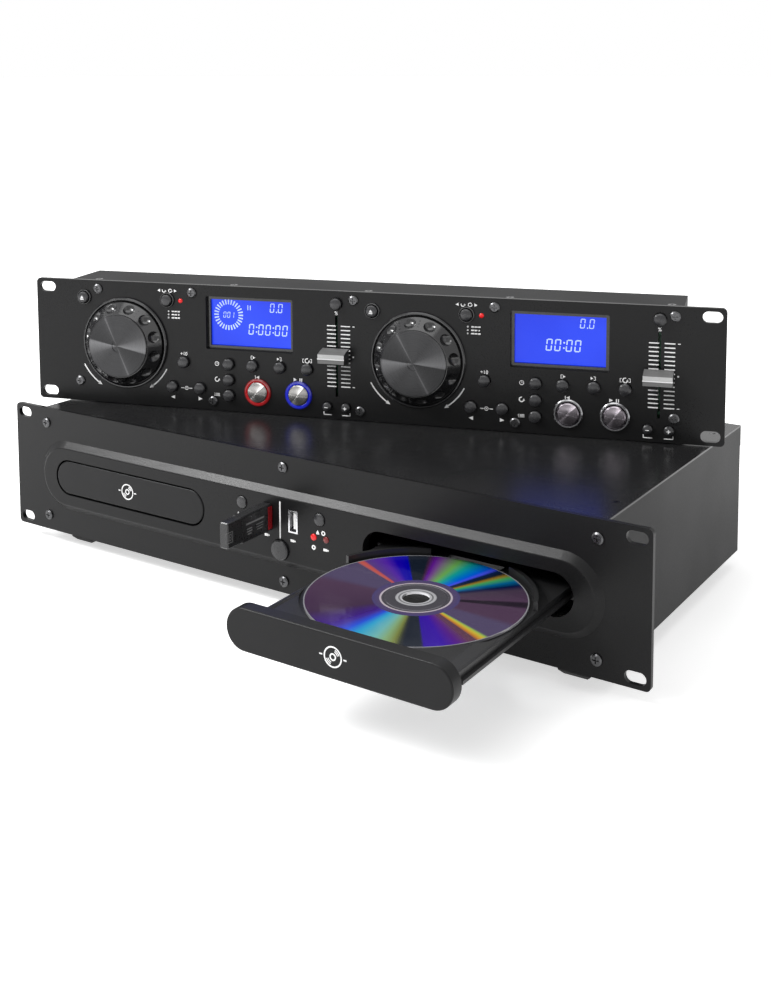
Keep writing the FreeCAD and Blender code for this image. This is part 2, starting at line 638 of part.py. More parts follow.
def pinion(deck_x):
    """The loading gear, turning on a pin of the loader just under the tray."""
    x = deck_x + RACK_X - PITCH_RADIUS
    low = TRAY_FLOOR_Z - TRAY_FLOOR - SEAT_GAP - PINION_THICK
    gear = moved(pinion_outline().extrude(Vector(0, 0, PINION_THICK)), x, PINION_Y, low)
    hub = rod_z(x, PINION_Y, PINION_PIN_RADIUS + LOADER_WALL, low - LOADER_WALL, low + PINION_THICK)
    bore = rod_z(x, PINION_Y, PINION_PIN_RADIUS + SHAFT_GAP, low - 2 * LOADER_WALL, low + 2 * PINION_THICK)
    return fuse([gear, hub]).cut(bore)


def tray():
    """One disc tray, closed, about its own centre line: a bevelled front step cut by the disc's pocket,
    two guide arcs, skirts, runners and the rack."""
    half = TRAY_HALF_WIDTH
    front = PLATEAU_FRONT + DOOR_THICK
    back = front + TRAY_LENGTH
    top, under = TRAY_FLOOR_Z, TRAY_FLOOR_Z - TRAY_FLOOR
    disc_y = closed_disc_y()
    plate = box(-half, half, front, back, under, top)
    foot_x, crest_x = TRAY_FRONT_HALF_WIDTH, TRAY_FRONT_HALF_WIDTH - TRAY_FRONT_BEVEL
    section = [Vector(-foot_x, front, top), Vector(-crest_x, front, top + TRAY_FRONT_RISE),
               Vector(crest_x, front, top + TRAY_FRONT_RISE), Vector(foot_x, front, top)]
    raised = Part.Face(Part.makePolygon(section + [section[0]])).extrude(Vector(0, disc_y - front, 0))
    raised = raised.cut(rod_z(0, disc_y, POCKET_RADIUS, top, top + 2 * TRAY_FRONT_RISE))
    arc_outer = POCKET_RADIUS + POCKET_ARC_THICK
    ring = rod_z(0, disc_y, arc_outer, top, top + POCKET_ARC_RISE)
    ring = ring.cut(rod_z(0, disc_y, POCKET_RADIUS, top, top + 2 * POCKET_ARC_RISE))
    arcs = []
    for side in (-1, 1):
        reach = 2 * arc_outer
        limits = [math.radians(a) for a in (POCKET_ARC_FROM, POCKET_ARC_TO)]
        corners = [Vector(0, disc_y, top)] + [Vector(side * reach * math.cos(a), disc_y + reach * math.sin(a),
                                                     top) for a in limits]
        wedge = Part.Face(Part.makePolygon(corners + [corners[0]])).extrude(Vector(0, 0, POCKET_ARC_RISE))
        arcs.append(ring.common(wedge).common(box(-half, half, front, back, top, top + POCKET_ARC_RISE)))
    skirts, runners = [], []
    for side in (-1, 1):
        inner, outer = sorted((side * (half - SKIRT_THICK), side * half))
        skirts.append(box(inner, outer, front, back, top - SKIRT_DROP, top))
        inner, outer = sorted((side * half, side * (half + RUNNER_WIDTH)))
        runners.append(box(inner, outer, front + DOOR_THICK, back, top - SKIRT_DROP,
                           top - SKIRT_DROP + RUNNER_HEIGHT))
    shape = fuse([plate, raised, rack()] + arcs + skirts + runners)
    small = rod_z(0, disc_y, SMALL_POCKET_RADIUS, top - SMALL_POCKET_DEPTH, top + SMALL_POCKET_DEPTH)
    slot = fuse([rod_z(0, disc_y, PICKUP_SLOT_HALF_WIDTH, 2 * under - top, top),
                 box(-PICKUP_SLOT_HALF_WIDTH, PICKUP_SLOT_HALF_WIDTH, disc_y, disc_y + PICKUP_SLOT_LENGTH,
                     2 * under - top, top)])
    return shape.cut([small, slot])


def tray_door():
    """The tray's front: a thick slot-shaped bar with softened edges, flush with the plateau when shut."""
    door = stadium(0, PLATEAU_Z, DOOR_HALF_LENGTH, DOOR_HALF_HEIGHT, PLATEAU_FRONT,
                   PLATEAU_FRONT + DOOR_THICK)
    front_edges = [e for e in door.Edges if e.BoundBox.YMax < PLATEAU_FRONT + 0.01]
    return door.makeFillet(DOOR_EDGE, front_edges)


def compact_disc():
    """A 120 mm disc with a shallow groove round its clamp area, lying in the open tray's pocket."""
    low, top = TRAY_FLOOR_Z + SEAT_GAP, DISC_THICK
    return turned([(DISC_HOLE_RADIUS, 0), (DISC_RADIUS, 0), (DISC_RADIUS, top),
                   (CLAMP_GROOVE_RADIUS + CLAMP_GROOVE_HALF_WIDTH, top),
                   (CLAMP_GROOVE_RADIUS, top - CLAMP_GROOVE_DEPTH),
                   (CLAMP_GROOVE_RADIUS - CLAMP_GROOVE_HALF_WIDTH, top), (DISC_HOLE_RADIUS, top)],
                  DECK_X, closed_disc_y() - TRAY_TRAVEL, low, Vector(0, 0, 1))


def loader(deck_x):
    """One disc loader: guide frame on posts, clamp bridge, spindle motor, sled on two rods, gear pin."""
    front, back = LOADER_FRONT, LOADER_FRONT + LOADER_LENGTH
    runner = TRAY_HALF_WIDTH + RUNNER_WIDTH
    inner = runner + RUNNING_GAP
    outer = inner + LOADER_WALL
    runner_low = TRAY_FLOOR_Z - SKIRT_DROP
    runner_top = runner_low + RUNNER_HEIGHT
    floor_top = LOADER_FLOOR_Z + LOADER_FLOOR_THICK
    disc_y = closed_disc_y()
    pieces = [box(-outer, outer, front, back, LOADER_FLOOR_Z, floor_top)]
    lip_reach = TRAY_HALF_WIDTH + RUNNING_GAP
    for side in (-1, 1):
        lo, hi = sorted((side * inner, side * outer))
        pieces.append(box(lo, hi, front, back, LOADER_FLOOR_Z, runner_top + SEAT_GAP + GUIDE_LIP))
        pieces.append(box(lo, hi, disc_y - CLAMP_WALL_LENGTH / 2, disc_y + CLAMP_WALL_LENGTH / 2,
                          runner_top, CLAMP_BRIDGE_Z + CLAMP_BRIDGE_THICK))
        lo, hi = sorted((side * lip_reach, side * outer))
        pieces.append(box(lo, hi, front, back, runner_top + SEAT_GAP, runner_top + SEAT_GAP + GUIDE_LIP))
        lo, hi = sorted((side * (TRAY_HALF_WIDTH - SKIRT_THICK), side * outer))
        pieces.append(box(lo, hi, front, back, runner_low - SEAT_GAP - GUIDE_LIP, runner_low - SEAT_GAP))
        for y in (front + 2 * LOADER_WALL, back - 2 * LOADER_WALL):
            pieces.append(rod_z(side * (inner - LOADER_WALL), y, 2 * LOADER_WALL, CASE_FOOT_Z + SHEET,
                                LOADER_FLOOR_Z))
    pieces.append(box(-outer, outer, disc_y - CLAMP_WALL_LENGTH / 2, disc_y + CLAMP_WALL_LENGTH / 2,
                      CLAMP_BRIDGE_Z, CLAMP_BRIDGE_Z + CLAMP_BRIDGE_THICK))
    pinion_x = RACK_X - PITCH_RADIUS
    pinion_low = TRAY_FLOOR_Z - TRAY_FLOOR - SEAT_GAP - PINION_THICK - LOADER_WALL - SEAT_GAP
    pieces.append(rod_z(pinion_x, PINION_Y, PINION_PIN_RADIUS + LOADER_WALL, LOADER_FLOOR_Z, pinion_low))
    pieces.append(rod_z(pinion_x, PINION_Y, PINION_PIN_RADIUS, LOADER_FLOOR_Z,
                        TRAY_FLOOR_Z - TRAY_FLOOR - SEAT_GAP))
    for y in (disc_y + 2 * TURNTABLE_RADIUS, disc_y + 5 * TURNTABLE_RADIUS):
        pieces.append(box(-2 * TURNTABLE_RADIUS, 2 * TURNTABLE_RADIUS, y, y + LOADER_WALL, floor_top,
                          floor_top + 6 * GUIDE_ROD_RADIUS))
    frame = fuse(pieces)
    under_tray = TRAY_FLOOR_Z - TRAY_FLOOR - 2 * SEAT_GAP
    table_top = under_tray - TURNTABLE_DROP
    table_low = table_top - TURNTABLE_THICK
    motor_top = table_low - SPINDLE_LENGTH
    spindle = turned([(0, floor_top), (SPINDLE_MOTOR_RADIUS, floor_top), (SPINDLE_MOTOR_RADIUS, motor_top),
                      (SPINDLE_RADIUS, motor_top), (SPINDLE_RADIUS, table_low), (TURNTABLE_RADIUS, table_low),
                      (TURNTABLE_RADIUS, table_top), (0, table_top)], 0, disc_y, 0, Vector(0, 0, 1))
    rods = [rod_y(side * TURNTABLE_RADIUS * 1.6, floor_top + 3 * GUIDE_ROD_RADIUS, GUIDE_ROD_RADIUS,
                  disc_y + 2 * TURNTABLE_RADIUS + LOADER_WALL, disc_y + 5 * TURNTABLE_RADIUS)
            for side in (-1, 1)]
    sled_top = under_tray - SLED_DROP
    sled = box(-2 * TURNTABLE_RADIUS, 2 * TURNTABLE_RADIUS, disc_y + 2.6 * TURNTABLE_RADIUS,
               disc_y + 4 * TURNTABLE_RADIUS, floor_top + GUIDE_ROD_RADIUS, sled_top)
    lens = rod_z(0, disc_y + 3.2 * TURNTABLE_RADIUS, LENS_RADIUS, sled_top, sled_top + LENS_RISE)
    sled = sled.fuse(lens).cut(rods)
    puck = rod_z(0, disc_y, CLAMP_PUCK_RADIUS, CLAMP_BRIDGE_Z - CLAMP_PUCK_THICK, CLAMP_BRIDGE_Z)
    return [moved(s, deck_x) for s in (frame, spindle, sled, puck, *rods)]


# ---------------------------------------------------------------- player: boards, buttons, stick

def usb_port(x):
    """An upright USB-A socket: a metal shell with its contact tongue in the middle."""
    half_w, half_h = USB_SHELL_WIDTH / 2, USB_SHELL_HEIGHT / 2
    mouth_w, mouth_h = USB_MOUTH_WIDTH / 2, USB_MOUTH_HEIGHT / 2
    front = PLATEAU_FRONT - SCREW_GAP
    floor = front + STICK_PLUG_LENGTH + STICK_PLUG_WIDTH
    shell = box(x - half_w, x + half_w, front, FRONT_BOARD_Y, USB_Z - half_h, USB_Z + half_h)
    mouth = box(x - mouth_w, x + mouth_w, front, floor, USB_Z - mouth_h, USB_Z + mouth_h)
    tongue = box(x - USB_TONGUE_WIDTH / 2, x + USB_TONGUE_WIDTH / 2, front + USB_TONGUE_WIDTH, floor,
                 USB_Z - USB_TONGUE_HEIGHT / 2, USB_Z + USB_TONGUE_HEIGHT / 2)
    return shell.cut(mouth).fuse(tongue)


def tact_switch(x, z, board):
    half = SWITCH_SIZE / 2
    return box(x - half, x + half, board - SWITCH_HEIGHT, board, z - half, z + half)


def lamp(x, z, radius, front, board):
    """A round-headed indicator lamp standing on its board."""
    dome = radius / 3
    base = radius / 2 - front - dome
    return turned([(0, -board), (radius, -board), (radius, base)] + crown(radius, base, dome),
                  x, 0, z, Vector(0, -1, 0))


def mains_inlet():
    """An upright-pin mains inlet whose flange lies on the rear wall."""
    x, z = INLET_X, REAR_SOCKET_Z
    back = PLAYER_DEPTH + SHEET * 2
    deep = back - INLET_CAVITY_DEPTH
    half_w, half_h = INLET_WIDTH / 2, INLET_HEIGHT / 2
    body = box(x - half_w, x + half_w, deep - INLET_WALL, back, z - half_h, z + half_h)
    flange = box(x - half_w - INLET_WALL, x + half_w + INLET_WALL, PLAYER_DEPTH, back,
                 z - half_h - INLET_WALL, z + half_h + INLET_WALL)
    cavity = box(x - half_w + INLET_WALL, x + half_w - INLET_WALL, deep, back,
                 z - half_h + INLET_WALL, z + half_h - INLET_WALL)
    pins = [box(x + dx - INLET_PIN_HALF_WIDTH, x + dx + INLET_PIN_HALF_WIDTH, deep - INLET_WALL,
                back - INLET_WALL, z + dz - INLET_PIN_HALF_HEIGHT, z + dz + INLET_PIN_HALF_HEIGHT)
            for dx, dz in INLET_PINS]
    return fuse([body, flange]).cut(cavity).fuse(pins)


def phono_socket(x, z):
    wall = PLAYER_DEPTH
    return turned([(0, wall - SOCKET_BODY_DEPTH), (PHONO_RADIUS, wall - SOCKET_BODY_DEPTH),
                   (PHONO_RADIUS, wall + PHONO_LENGTH), (PHONO_BORE_RADIUS, wall + PHONO_LENGTH),
                   (PHONO_BORE_RADIUS, wall), (0, wall)], x, 0, z, Vector(0, 1, 0))


def link_socket(x, z, wall):
    """A round socket for the cable between the units: an open cup through the wall."""
    return turned([(0, wall - SOCKET_BODY_DEPTH), (LINK_RADIUS, wall - SOCKET_BODY_DEPTH),
                   (LINK_RADIUS, wall + LINK_PROUD), (LINK_BORE_RADIUS, wall + LINK_PROUD),
                   (LINK_BORE_RADIUS, wall - LINK_BORE_DEPTH), (0, wall - LINK_BORE_DEPTH)],
                  x, 0, z, Vector(0, 1, 0))


def player_main_board():
    """Front board with sockets, lamps and switches; main board on posts; transformer; rear sockets."""
    switches = [(-SOURCE_BUTTON_X, SOURCE_BUTTON_Z), (SOURCE_BUTTON_X, SOURCE_BUTTON_Z), (0, POWER_BUTTON_Z)]
    board_top = MAIN_BOARD_Z + BOARD_THICK
    front_board = box(-FRONT_BOARD_HALF_WIDTH, FRONT_BOARD_HALF_WIDTH, FRONT_BOARD_Y,
                      FRONT_BOARD_Y + BOARD_THICK, board_top, FRONT_BOARD_TOP)
    solids = [fuse([front_board] + [tact_switch(x, z, FRONT_BOARD_Y) for x, z in switches])]
    solids += [usb_port(side * USB_X) for side in (-1, 1)]
    solids += [lamp(x, z, PLAYER_LED_RADIUS, PLATEAU_FRONT, FRONT_BOARD_Y) for x, z in led_places()]
    solids.append(box(-MAIN_BOARD_HALF_WIDTH, MAIN_BOARD_HALF_WIDTH, FRONT_BOARD_Y,
                      PLAYER_DEPTH - 4 * SHEET, MAIN_BOARD_Z, board_top))
    solids += [rod_z(side * MAIN_BOARD_POST_X, y, SPACER_RADIUS, CASE_FOOT_Z + SHEET, MAIN_BOARD_Z)
               for side in (-1, 1) for y in MAIN_BOARD_POSTS_Y]
    width, depth, height = TRANSFORMER_SIZE
    solids.append(box(-width / 2, width / 2, TRANSFORMER_Y - depth / 2, TRANSFORMER_Y + depth / 2,
                      board_top, board_top + height))
    solids += [rod_z(x, CAPACITOR_Y, CAPACITOR_RADIUS, board_top, board_top + CAPACITOR_HEIGHT)
               for x in CAPACITOR_X]
    solids.append(box(-CHIP_HALF, CHIP_HALF, CHIP_Y - CHIP_HALF, CHIP_Y + CHIP_HALF, board_top,
                      board_top + CHIP_HEIGHT))
    solids += [phono_socket(x, z) for x, z in phono_places()]
    solids += [link_socket(x, REAR_SOCKET_Z, PLAYER_DEPTH) for x in LINK_X] + [mains_inlet()]
    return solids


def memory_stick():
    """A memory stick in the left socket: flat body, slimmer grip, collar and a hollow metal plug."""
    x, z = -USB_X, USB_Z
    seat = PLATEAU_FRONT - SCREW_GAP - SEAT_GAP
    far = seat - STICK_LENGTH
    body = rounded_plate(STICK_WIDTH, STICK_HEIGHT, STICK_CORNER, far + STICK_GRIP_LENGTH, seat, x, z)
    grip = rounded_plate(STICK_WIDTH - 2 * STICK_STEP, STICK_HEIGHT - 2 * STICK_STEP, STICK_CORNER, far,
                         far + STICK_GRIP_LENGTH, x, z)
    grip = grip.makeChamfer(STICK_CORNER / 2, [e for e in grip.Edges if e.BoundBox.YMax < far + 0.01])
    collar = rounded_plate(STICK_WIDTH + 2 * STICK_STEP, STICK_COLLAR_HEIGHT, STICK_CORNER,
                           seat - STICK_COLLAR_LENGTH, seat, x, z)
    half_w, half_h = STICK_PLUG_WIDTH / 2, STICK_PLUG_HEIGHT / 2
    plug = box(x - half_w, x + half_w, seat, seat + STICK_PLUG_LENGTH, z - half_h, z + half_h)
    bore = box(x - half_w + STICK_PLUG_WALL, x + half_w - STICK_PLUG_WALL, seat + STICK_PLUG_WALL,
               seat + STICK_PLUG_LENGTH, z - half_h + STICK_PLUG_WALL, z + half_h - STICK_PLUG_WALL)
    return fuse([body, grip, collar, plug]).cut(bore)


def player_button(x, z, radius, proud):
    return push_button(x, z, radius, proud, PLATEAU_FRONT, PLATEAU_BACK, FRONT_BOARD_Y - SWITCH_HEIGHT,
                       BUTTON_TRAVEL)


# ---------------------------------------------------------------- controller

def placed(shape):
    """Set a controller piece, modelled about its panel's centre, on the player's roof."""
    turn = Placement(Vector(CONTROLLER_X, CONTROLLER_Y, CONTROLLER_Z),
                     Rotation(Vector(0, 0, 1), CONTROLLER_TURN))
    shape.Placement = turn.multiply(shape.Placement)
    return shape


def case_height_range():
    return CASE_ABOVE_PANEL_FOOT - PANEL_TOP, PANEL_TOP - CASE_BELOW_PANEL_TOP


def controller_screw_places():
    sides = [(side * (CONTROLLER_HALF - inset), z) for side, inset, z in CONTROLLER_SIDE_SCREWS]
    return sides + CONTROLLER_MIDDLE_SCREWS


def controller_roof_screws_x():
    left, right = CONTROLLER_ROOF_SCREWS_FROM_SIDE
    return [left - CONTROLLER_HALF] + CONTROLLER_ROOF_MIDDLE_SCREWS_X + [CONTROLLER_HALF - right]


def controller_front_panel():
    """A flat rack plate pierced for every control, with a rear flange under the case's roof."""
    low, high = case_height_range()
    flange = box(2 * SHEET - CONTROLLER_HALF, CONTROLLER_HALF - 2 * SHEET, PANEL_THICK,
                 CONTROLLER_ROOF_SCREW_Y + PANEL_SCREW_HEAD, high - SHEET - SEAT_GAP / 3 - SHEET,
                 high - SHEET - SEAT_GAP / 3)
    panel = fuse([rack_plate(), flange])
    through = (-PANEL_THICK, 2 * PANEL_THICK)
    cuts = []
    for jog_x in JOGS_X:
        cuts.append(rod_y(jog_x, 0, JOG_SHAFT_RADIUS + 2 * RUNNING_GAP, *through))
        cuts.append(rounded_plate(WINDOW_WIDTH, WINDOW_HEIGHT, WINDOW_CORNER, *through,
                                  x=jog_x + WINDOW_CENTRE[0], z=WINDOW_CENTRE[1]))
        cuts.append(rod_y(jog_x + DECK_LED[0], DECK_LED[1], CONTROLLER_LED_RADIUS + SCREW_GAP, *through))
        slot = box(jog_x + FADER_X - FADER_SLOT_WIDTH / 2, jog_x + FADER_X + FADER_SLOT_WIDTH / 2, *through,
                   FADER_Z - FADER_SLOT_LENGTH / 2, FADER_Z + FADER_SLOT_LENGTH / 2)
        cuts.append(slot)
        for x, z, kind in DECK_BUTTONS.values():
            radius = BUTTON_RADII[kind] + RUNNING_GAP
            if kind == "transport":
                radius += RING_NECK + SHAFT_GAP
            cuts.append(rod_y(jog_x + x, z, radius, *through))
    cuts += [rod_y(x, z, SCREW_SHANK + SCREW_GAP, *through) for x, z in controller_screw_places()]
    cuts += [rod_z(x, CONTROLLER_ROOF_SCREW_Y, SCREW_SHANK + SCREW_GAP, high - FLANGE_DEPTH, high)
             for x in controller_roof_screws_x()]
    return panel.cut(cuts)


def controller_case():
    """A five-sided box of folded sheet behind the panel, with four low pads pressed out of its floor."""
    low, high = case_height_range()
    front, back = PANEL_THICK, CONTROLLER_DEPTH
    half = CONTROLLER_HALF
    shell = box(-half, half, front, back, low, high)
    folds = [e for e in shell.Edges if abs(e.BoundBox.YMin - back) < 0.01 and e.BoundBox.XLength > SHEET]
    shell = shell.makeFillet(SHEET, folds)
    inside = box(SHEET - half, half - SHEET, 0, back - SHEET, low + SHEET, high - SHEET)
    body = shell.cut(inside)
    pad_foot = -PANEL_TOP - CONTROLLER_PAD_DROP
    pads = []
    for side in (-1, 1):
        for y in (front + PAD_INSET, back - PAD_INSET / 2 - SHEET):
            pads.append(turned([(0, 0), (PAD_RADIUS - 1, 0), (PAD_RADIUS, low + SHEET - pad_foot),
                                (0, low + SHEET - pad_foot)],
                               side * (half - PAD_INSET - SHEET), y, pad_foot, Vector(0, 0, 1)))
    body = fuse([body] + pads)
    holes = [roof_screw_hole(x, CONTROLLER_ROOF_SCREW_Y, high) for x in controller_roof_screws_x()]
    holes += [rod_y(x, 0, LINK_RADIUS + SCREW_GAP, back - 2 * SHEET, back + SHEET) for x in LINK_X]
    return body.cut(holes)


def ring(x, z, inner, outer, proud):
    """A trim ring on the panel's face with a rounded crest."""
    soft = min(proud, outer - inner) / 3
    return turned([(inner, 0), (outer, 0), (outer, proud - soft), (outer - soft, proud),
                   (inner + soft, proud), (inner, proud - soft)], x, 0, z, Vector(0, -1, 0))


def control_bezels():
    """The rings round the jog wheels, the collars of two small buttons and the cue and play rings."""
    rings = []
    for jog_x in JOGS_X:
        rings.append(ring(jog_x, 0, BEZEL_INNER_RADIUS, BEZEL_OUTER_RADIUS, BEZEL_PROUD))
        for x, z, kind in DECK_BUTTONS.values():
            inner = BUTTON_RADII[kind] + RUNNING_GAP
            if kind == "collared":
                rings.append(ring(jog_x + x, z, inner, inner + COLLAR_WIDTH, COLLAR_PROUD))
            if kind == "transport":
                crest = ring(jog_x + x, z, inner, inner + RING_WIDTH, RING_PROUD)
                neck = rod_y(jog_x + x, z, inner + RING_NECK, 0, PANEL_THICK)
                rings.append(fuse([crest, neck.cut(rod_y(jog_x + x, z, inner, 0, PANEL_THICK))]))
    return rings


def displays():
    """Two display modules against the panel's back: a frame, and the glass set into it."""
    solids = []
    for jog_x in JOGS_X:
        x, z = jog_x + WINDOW_CENTRE[0], WINDOW_CENTRE[1]
        half_w, half_h = WINDOW_WIDTH / 2 + DISPLAY_BORDER, WINDOW_HEIGHT / 2 + DISPLAY_BORDER
        frame = box(x - half_w, x + half_w, PANEL_THICK, PANEL_THICK + DISPLAY_THICK, z - half_h, z + half_h)
        well = box(x - LCD_WIDTH / 2, x + LCD_WIDTH / 2, PANEL_THICK, PANEL_THICK + DISPLAY_THICK / 2,
                   z - LCD_HEIGHT / 2, z + LCD_HEIGHT / 2)
        glass = box(x - LCD_WIDTH / 2, x + LCD_WIDTH / 2, PANEL_THICK + LCD_DEPTH,
                    PANEL_THICK + DISPLAY_THICK / 2, z - LCD_HEIGHT / 2, z + LCD_HEIGHT / 2)
        solids += [frame.cut(well), glass]
    return solids


def controller_screws():
    high = case_height_range()[1]
    return ([panel_screw(x, z) for x, z in controller_screw_places()]
            + [roof_screw(x, CONTROLLER_ROOF_SCREW_Y, high) for x in controller_roof_screws_x()])


def controller_board():
    """The board on spacers behind the panel, with switches, jog encoders, fader tracks, lamps, sockets."""
    low, high = case_height_range()
    half = CONTROLLER_HALF - BOARD_MARGIN
    board = box(-half, half, BOARD_Y, BOARD_Y + BOARD_THICK, low + BOARD_MARGIN,
                high - BOARD_MARGIN - 2 * SHEET)
    switches = [tact_switch(jog_x + x, z, BOARD_Y) for jog_x in JOGS_X for x, z, _ in DECK_BUTTONS.values()]
    solids = [fuse([board] + switches)]
    for x, z in controller_screw_places():
        spacer = rod_y(x, z, SPACER_RADIUS, PANEL_THICK, BOARD_Y)
        solids.append(spacer.cut(rod_y(x, z, SCREW_SHANK + SHAFT_GAP, PANEL_THICK, BOARD_Y)))
    for jog_x in JOGS_X:
        encoder = rod_y(jog_x, 0, 3 * JOG_SHAFT_RADIUS, BOARD_Y / 2, BOARD_Y)
        solids.append(encoder.cut(rod_y(jog_x, 0, JOG_SHAFT_RADIUS + SHAFT_GAP, 0, BOARD_Y - SHEET)))
        fader_x = jog_x + FADER_X
        reach = FADER_TRAVEL + FADER_LEVER_HEIGHT
        groove_half = FADER_LEVER_THICK / 2 + SEAT_GAP
        track = box(fader_x - FADER_TRACK_HALF_WIDTH, fader_x + FADER_TRACK_HALF_WIDTH, BOARD_Y / 2, BOARD_Y,
                    FADER_Z - reach - FADER_TRACK_WALL, FADER_Z + reach + FADER_TRACK_WALL)
        solids.append(track.cut(box(fader_x - groove_half, fader_x + groove_half, 0, BOARD_Y - SHEET,
                                    FADER_Z - reach, FADER_Z + reach)))
        solids.append(lamp(jog_x + DECK_LED[0], DECK_LED[1], CONTROLLER_LED_RADIUS, 0, BOARD_Y))
    solids += [link_socket(x, 0, CONTROLLER_DEPTH) for x in LINK_X]
    return solids


def jog_wheel(jog_x, turn):
    """A conical wheel with finger dimples round it and a flat turned cap in front, on its shaft."""
    shaft_end = BOARD_Y - 2 * SHEET
    cap_root = JOG_CAP_PROUD - JOG_CAP_STEP
    edge = JOG_CAP_STEP / 3
    wheel = turned([(0, -shaft_end), (JOG_SHAFT_RADIUS, -shaft_end), (JOG_SHAFT_RADIUS, JOG_FLOOR),
                    (JOG_RADIUS, JOG_FLOOR), (JOG_RADIUS, JOG_RIM_PROUD),
                    (JOG_CAP_RADIUS + JOG_CAP_LEDGE, cap_root), (JOG_CAP_RADIUS, cap_root),
                    (JOG_CAP_RADIUS, JOG_CAP_PROUD - edge),
                    (JOG_CAP_RADIUS - edge, JOG_CAP_PROUD), (JOG_HUB_RADIUS, JOG_CAP_PROUD),
                    (JOG_HUB_RADIUS, JOG_CAP_PROUD - edge), (0, JOG_CAP_PROUD - edge)],
                   jog_x, 0, 0, Vector(0, -1, 0))
    run, rise = JOG_RADIUS - JOG_CAP_RADIUS - JOG_CAP_LEDGE, cap_root - JOG_RIM_PROUD
    slant = math.hypot(run, rise)
    middle_radius, middle_height = JOG_RADIUS - run / 2, JOG_RIM_PROUD + rise / 2
    lift = JOG_DIMPLE_SPHERE - JOG_DIMPLE_DEPTH
    centre_radius = middle_radius + lift * rise / slant
    centre_height = middle_height + lift * run / slant
    dimples = []
    for step in range(JOG_DIMPLES):
        angle = math.radians(turn) + 2 * math.pi * step / JOG_DIMPLES
        centre = Vector(jog_x + centre_radius * math.cos(angle), -centre_height,
                        centre_radius * math.sin(angle))
        dimples.append(Part.makeSphere(JOG_DIMPLE_SPHERE, centre))
    return wheel.cut(dimples)


def pitch_fader(jog_x, rest):
    """A wedge-shaped cap with a raised centre line, on a flat lever through the panel's slot."""
    x, z = jog_x + FADER_X, FADER_Z + rest
    root, face = FADER_CAP_HEIGHT / 2, FADER_CAP_FACE / 2
    near, tip = -(SCREW_HEAD_THICK + SEAT_GAP), -FADER_CAP_PROUD
    waist_y, waist = FADER_CAP_WAIST * tip, FADER_CAP_TAPER * root
    outline = [Vector(x, near, z + root), Vector(x, waist_y, z + waist), Vector(x, tip, z + face),
               Vector(x, tip, z - face), Vector(x, waist_y, z - waist), Vector(x, near, z - root)]
    cap = Part.Face(Part.makePolygon(outline + [outline[0]])).extrude(Vector(FADER_CAP_WIDTH, 0, 0))
    cap = moved(cap, x=-FADER_CAP_WIDTH / 2)
    line = box(x - FADER_CAP_WIDTH / 2 - SCREW_GAP, x + FADER_CAP_WIDTH / 2 + SCREW_GAP,
               tip - SCREW_GAP, near, z - SCREW_SLOT / 2, z + SCREW_SLOT / 2)
    lever = box(x - FADER_LEVER_THICK / 2, x + FADER_LEVER_THICK / 2, near, BOARD_Y - 2 * SHEET,
                z - FADER_LEVER_HEIGHT / 2, z + FADER_LEVER_HEIGHT / 2)
    return fuse([cap, line, lever])


def deck_button(jog_x, name):
    x, z, kind = DECK_BUTTONS[name]
    proud = TRANSPORT_PROUD if kind == "transport" else BUTTON_PROUD
    return push_button(jog_x + x, z, BUTTON_RADII[kind], proud, 0, PANEL_THICK, SWITCH_TOP, BUTTON_TRAVEL)


# ---------------------------------------------------------------- all nodes

def build_nodes():
    nodes = {
        "player_front_panel": [player_front_panel()],
        "player_chassis": [player_chassis()],
        "player_top_cover": [player_top_cover()],
        "player_feet": player_feet(),
        "player_screws": player_screws(),
        "disc_loaders": loader(-DECK_X) + loader(DECK_X),
        "player_main_board": player_main_board(),
        "left_tray": [moved(tray(), -DECK_X)],
        "left_tray_door": [moved(tray_door(), -DECK_X)],
        "left_loading_gear": [pinion(-DECK_X)],
        "right_tray": [moved(tray(), DECK_X, -TRAY_TRAVEL)],
        "right_tray_door": [moved(tray_door(), DECK_X, -TRAY_TRAVEL)],
        "right_loading_gear": [pinion(DECK_X)],
        "compact_disc": [compact_disc()],
        "memory_stick": [memory_stick()],
        "left_source_button": [player_button(-SOURCE_BUTTON_X, SOURCE_BUTTON_Z, SOURCE_BUTTON_RADIUS,
                                             SOURCE_BUTTON_PROUD)],
        "right_source_button": [player_button(SOURCE_BUTTON_X, SOURCE_BUTTON_Z, SOURCE_BUTTON_RADIUS,
                                              SOURCE_BUTTON_PROUD)],
        "power_button": [player_button(0, POWER_BUTTON_Z, POWER_BUTTON_RADIUS, POWER_BUTTON_PROUD)],
    }
    controller = {
        "controller_front_panel": [controller_front_panel()],
        "controller_case": [controller_case()],
        "control_bezels": control_bezels(),
        "displays": displays(),
        "controller_screws": controller_screws(),
        "controller_board": controller_board(),
    }
    for deck, jog_x, turn, rest in zip(("left", "right"), JOGS_X, JOG_TURNS, FADER_RESTS):
        controller[deck + "_jog_wheel"] = [jog_wheel(jog_x, turn)]
        controller[deck + "_pitch_fader"] = [pitch_fader(jog_x, rest)]
        for name in DECK_BUTTONS:
            controller[deck + "_" + name + "_button"] = [deck_button(jog_x, name)]
    for name, solids in controller.items():
        nodes[name] = [placed(solid) for solid in solids]
    return nodes


def export(nodes):
    os.makedirs("parts", exist_ok=True)
    for name, solids in nodes.items():
        shape = solids[0] if len(solids) == 1 else Part.makeCompound(solids)
        shape.exportStep("parts/" + name + ".step")
    print(len(nodes), "nodes,", sum(len(s) for s in nodes.values()), "solids")


export(build_nodes())
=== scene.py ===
import json
import math

import bmesh
import bpy
from mathutils import Matrix, Vector


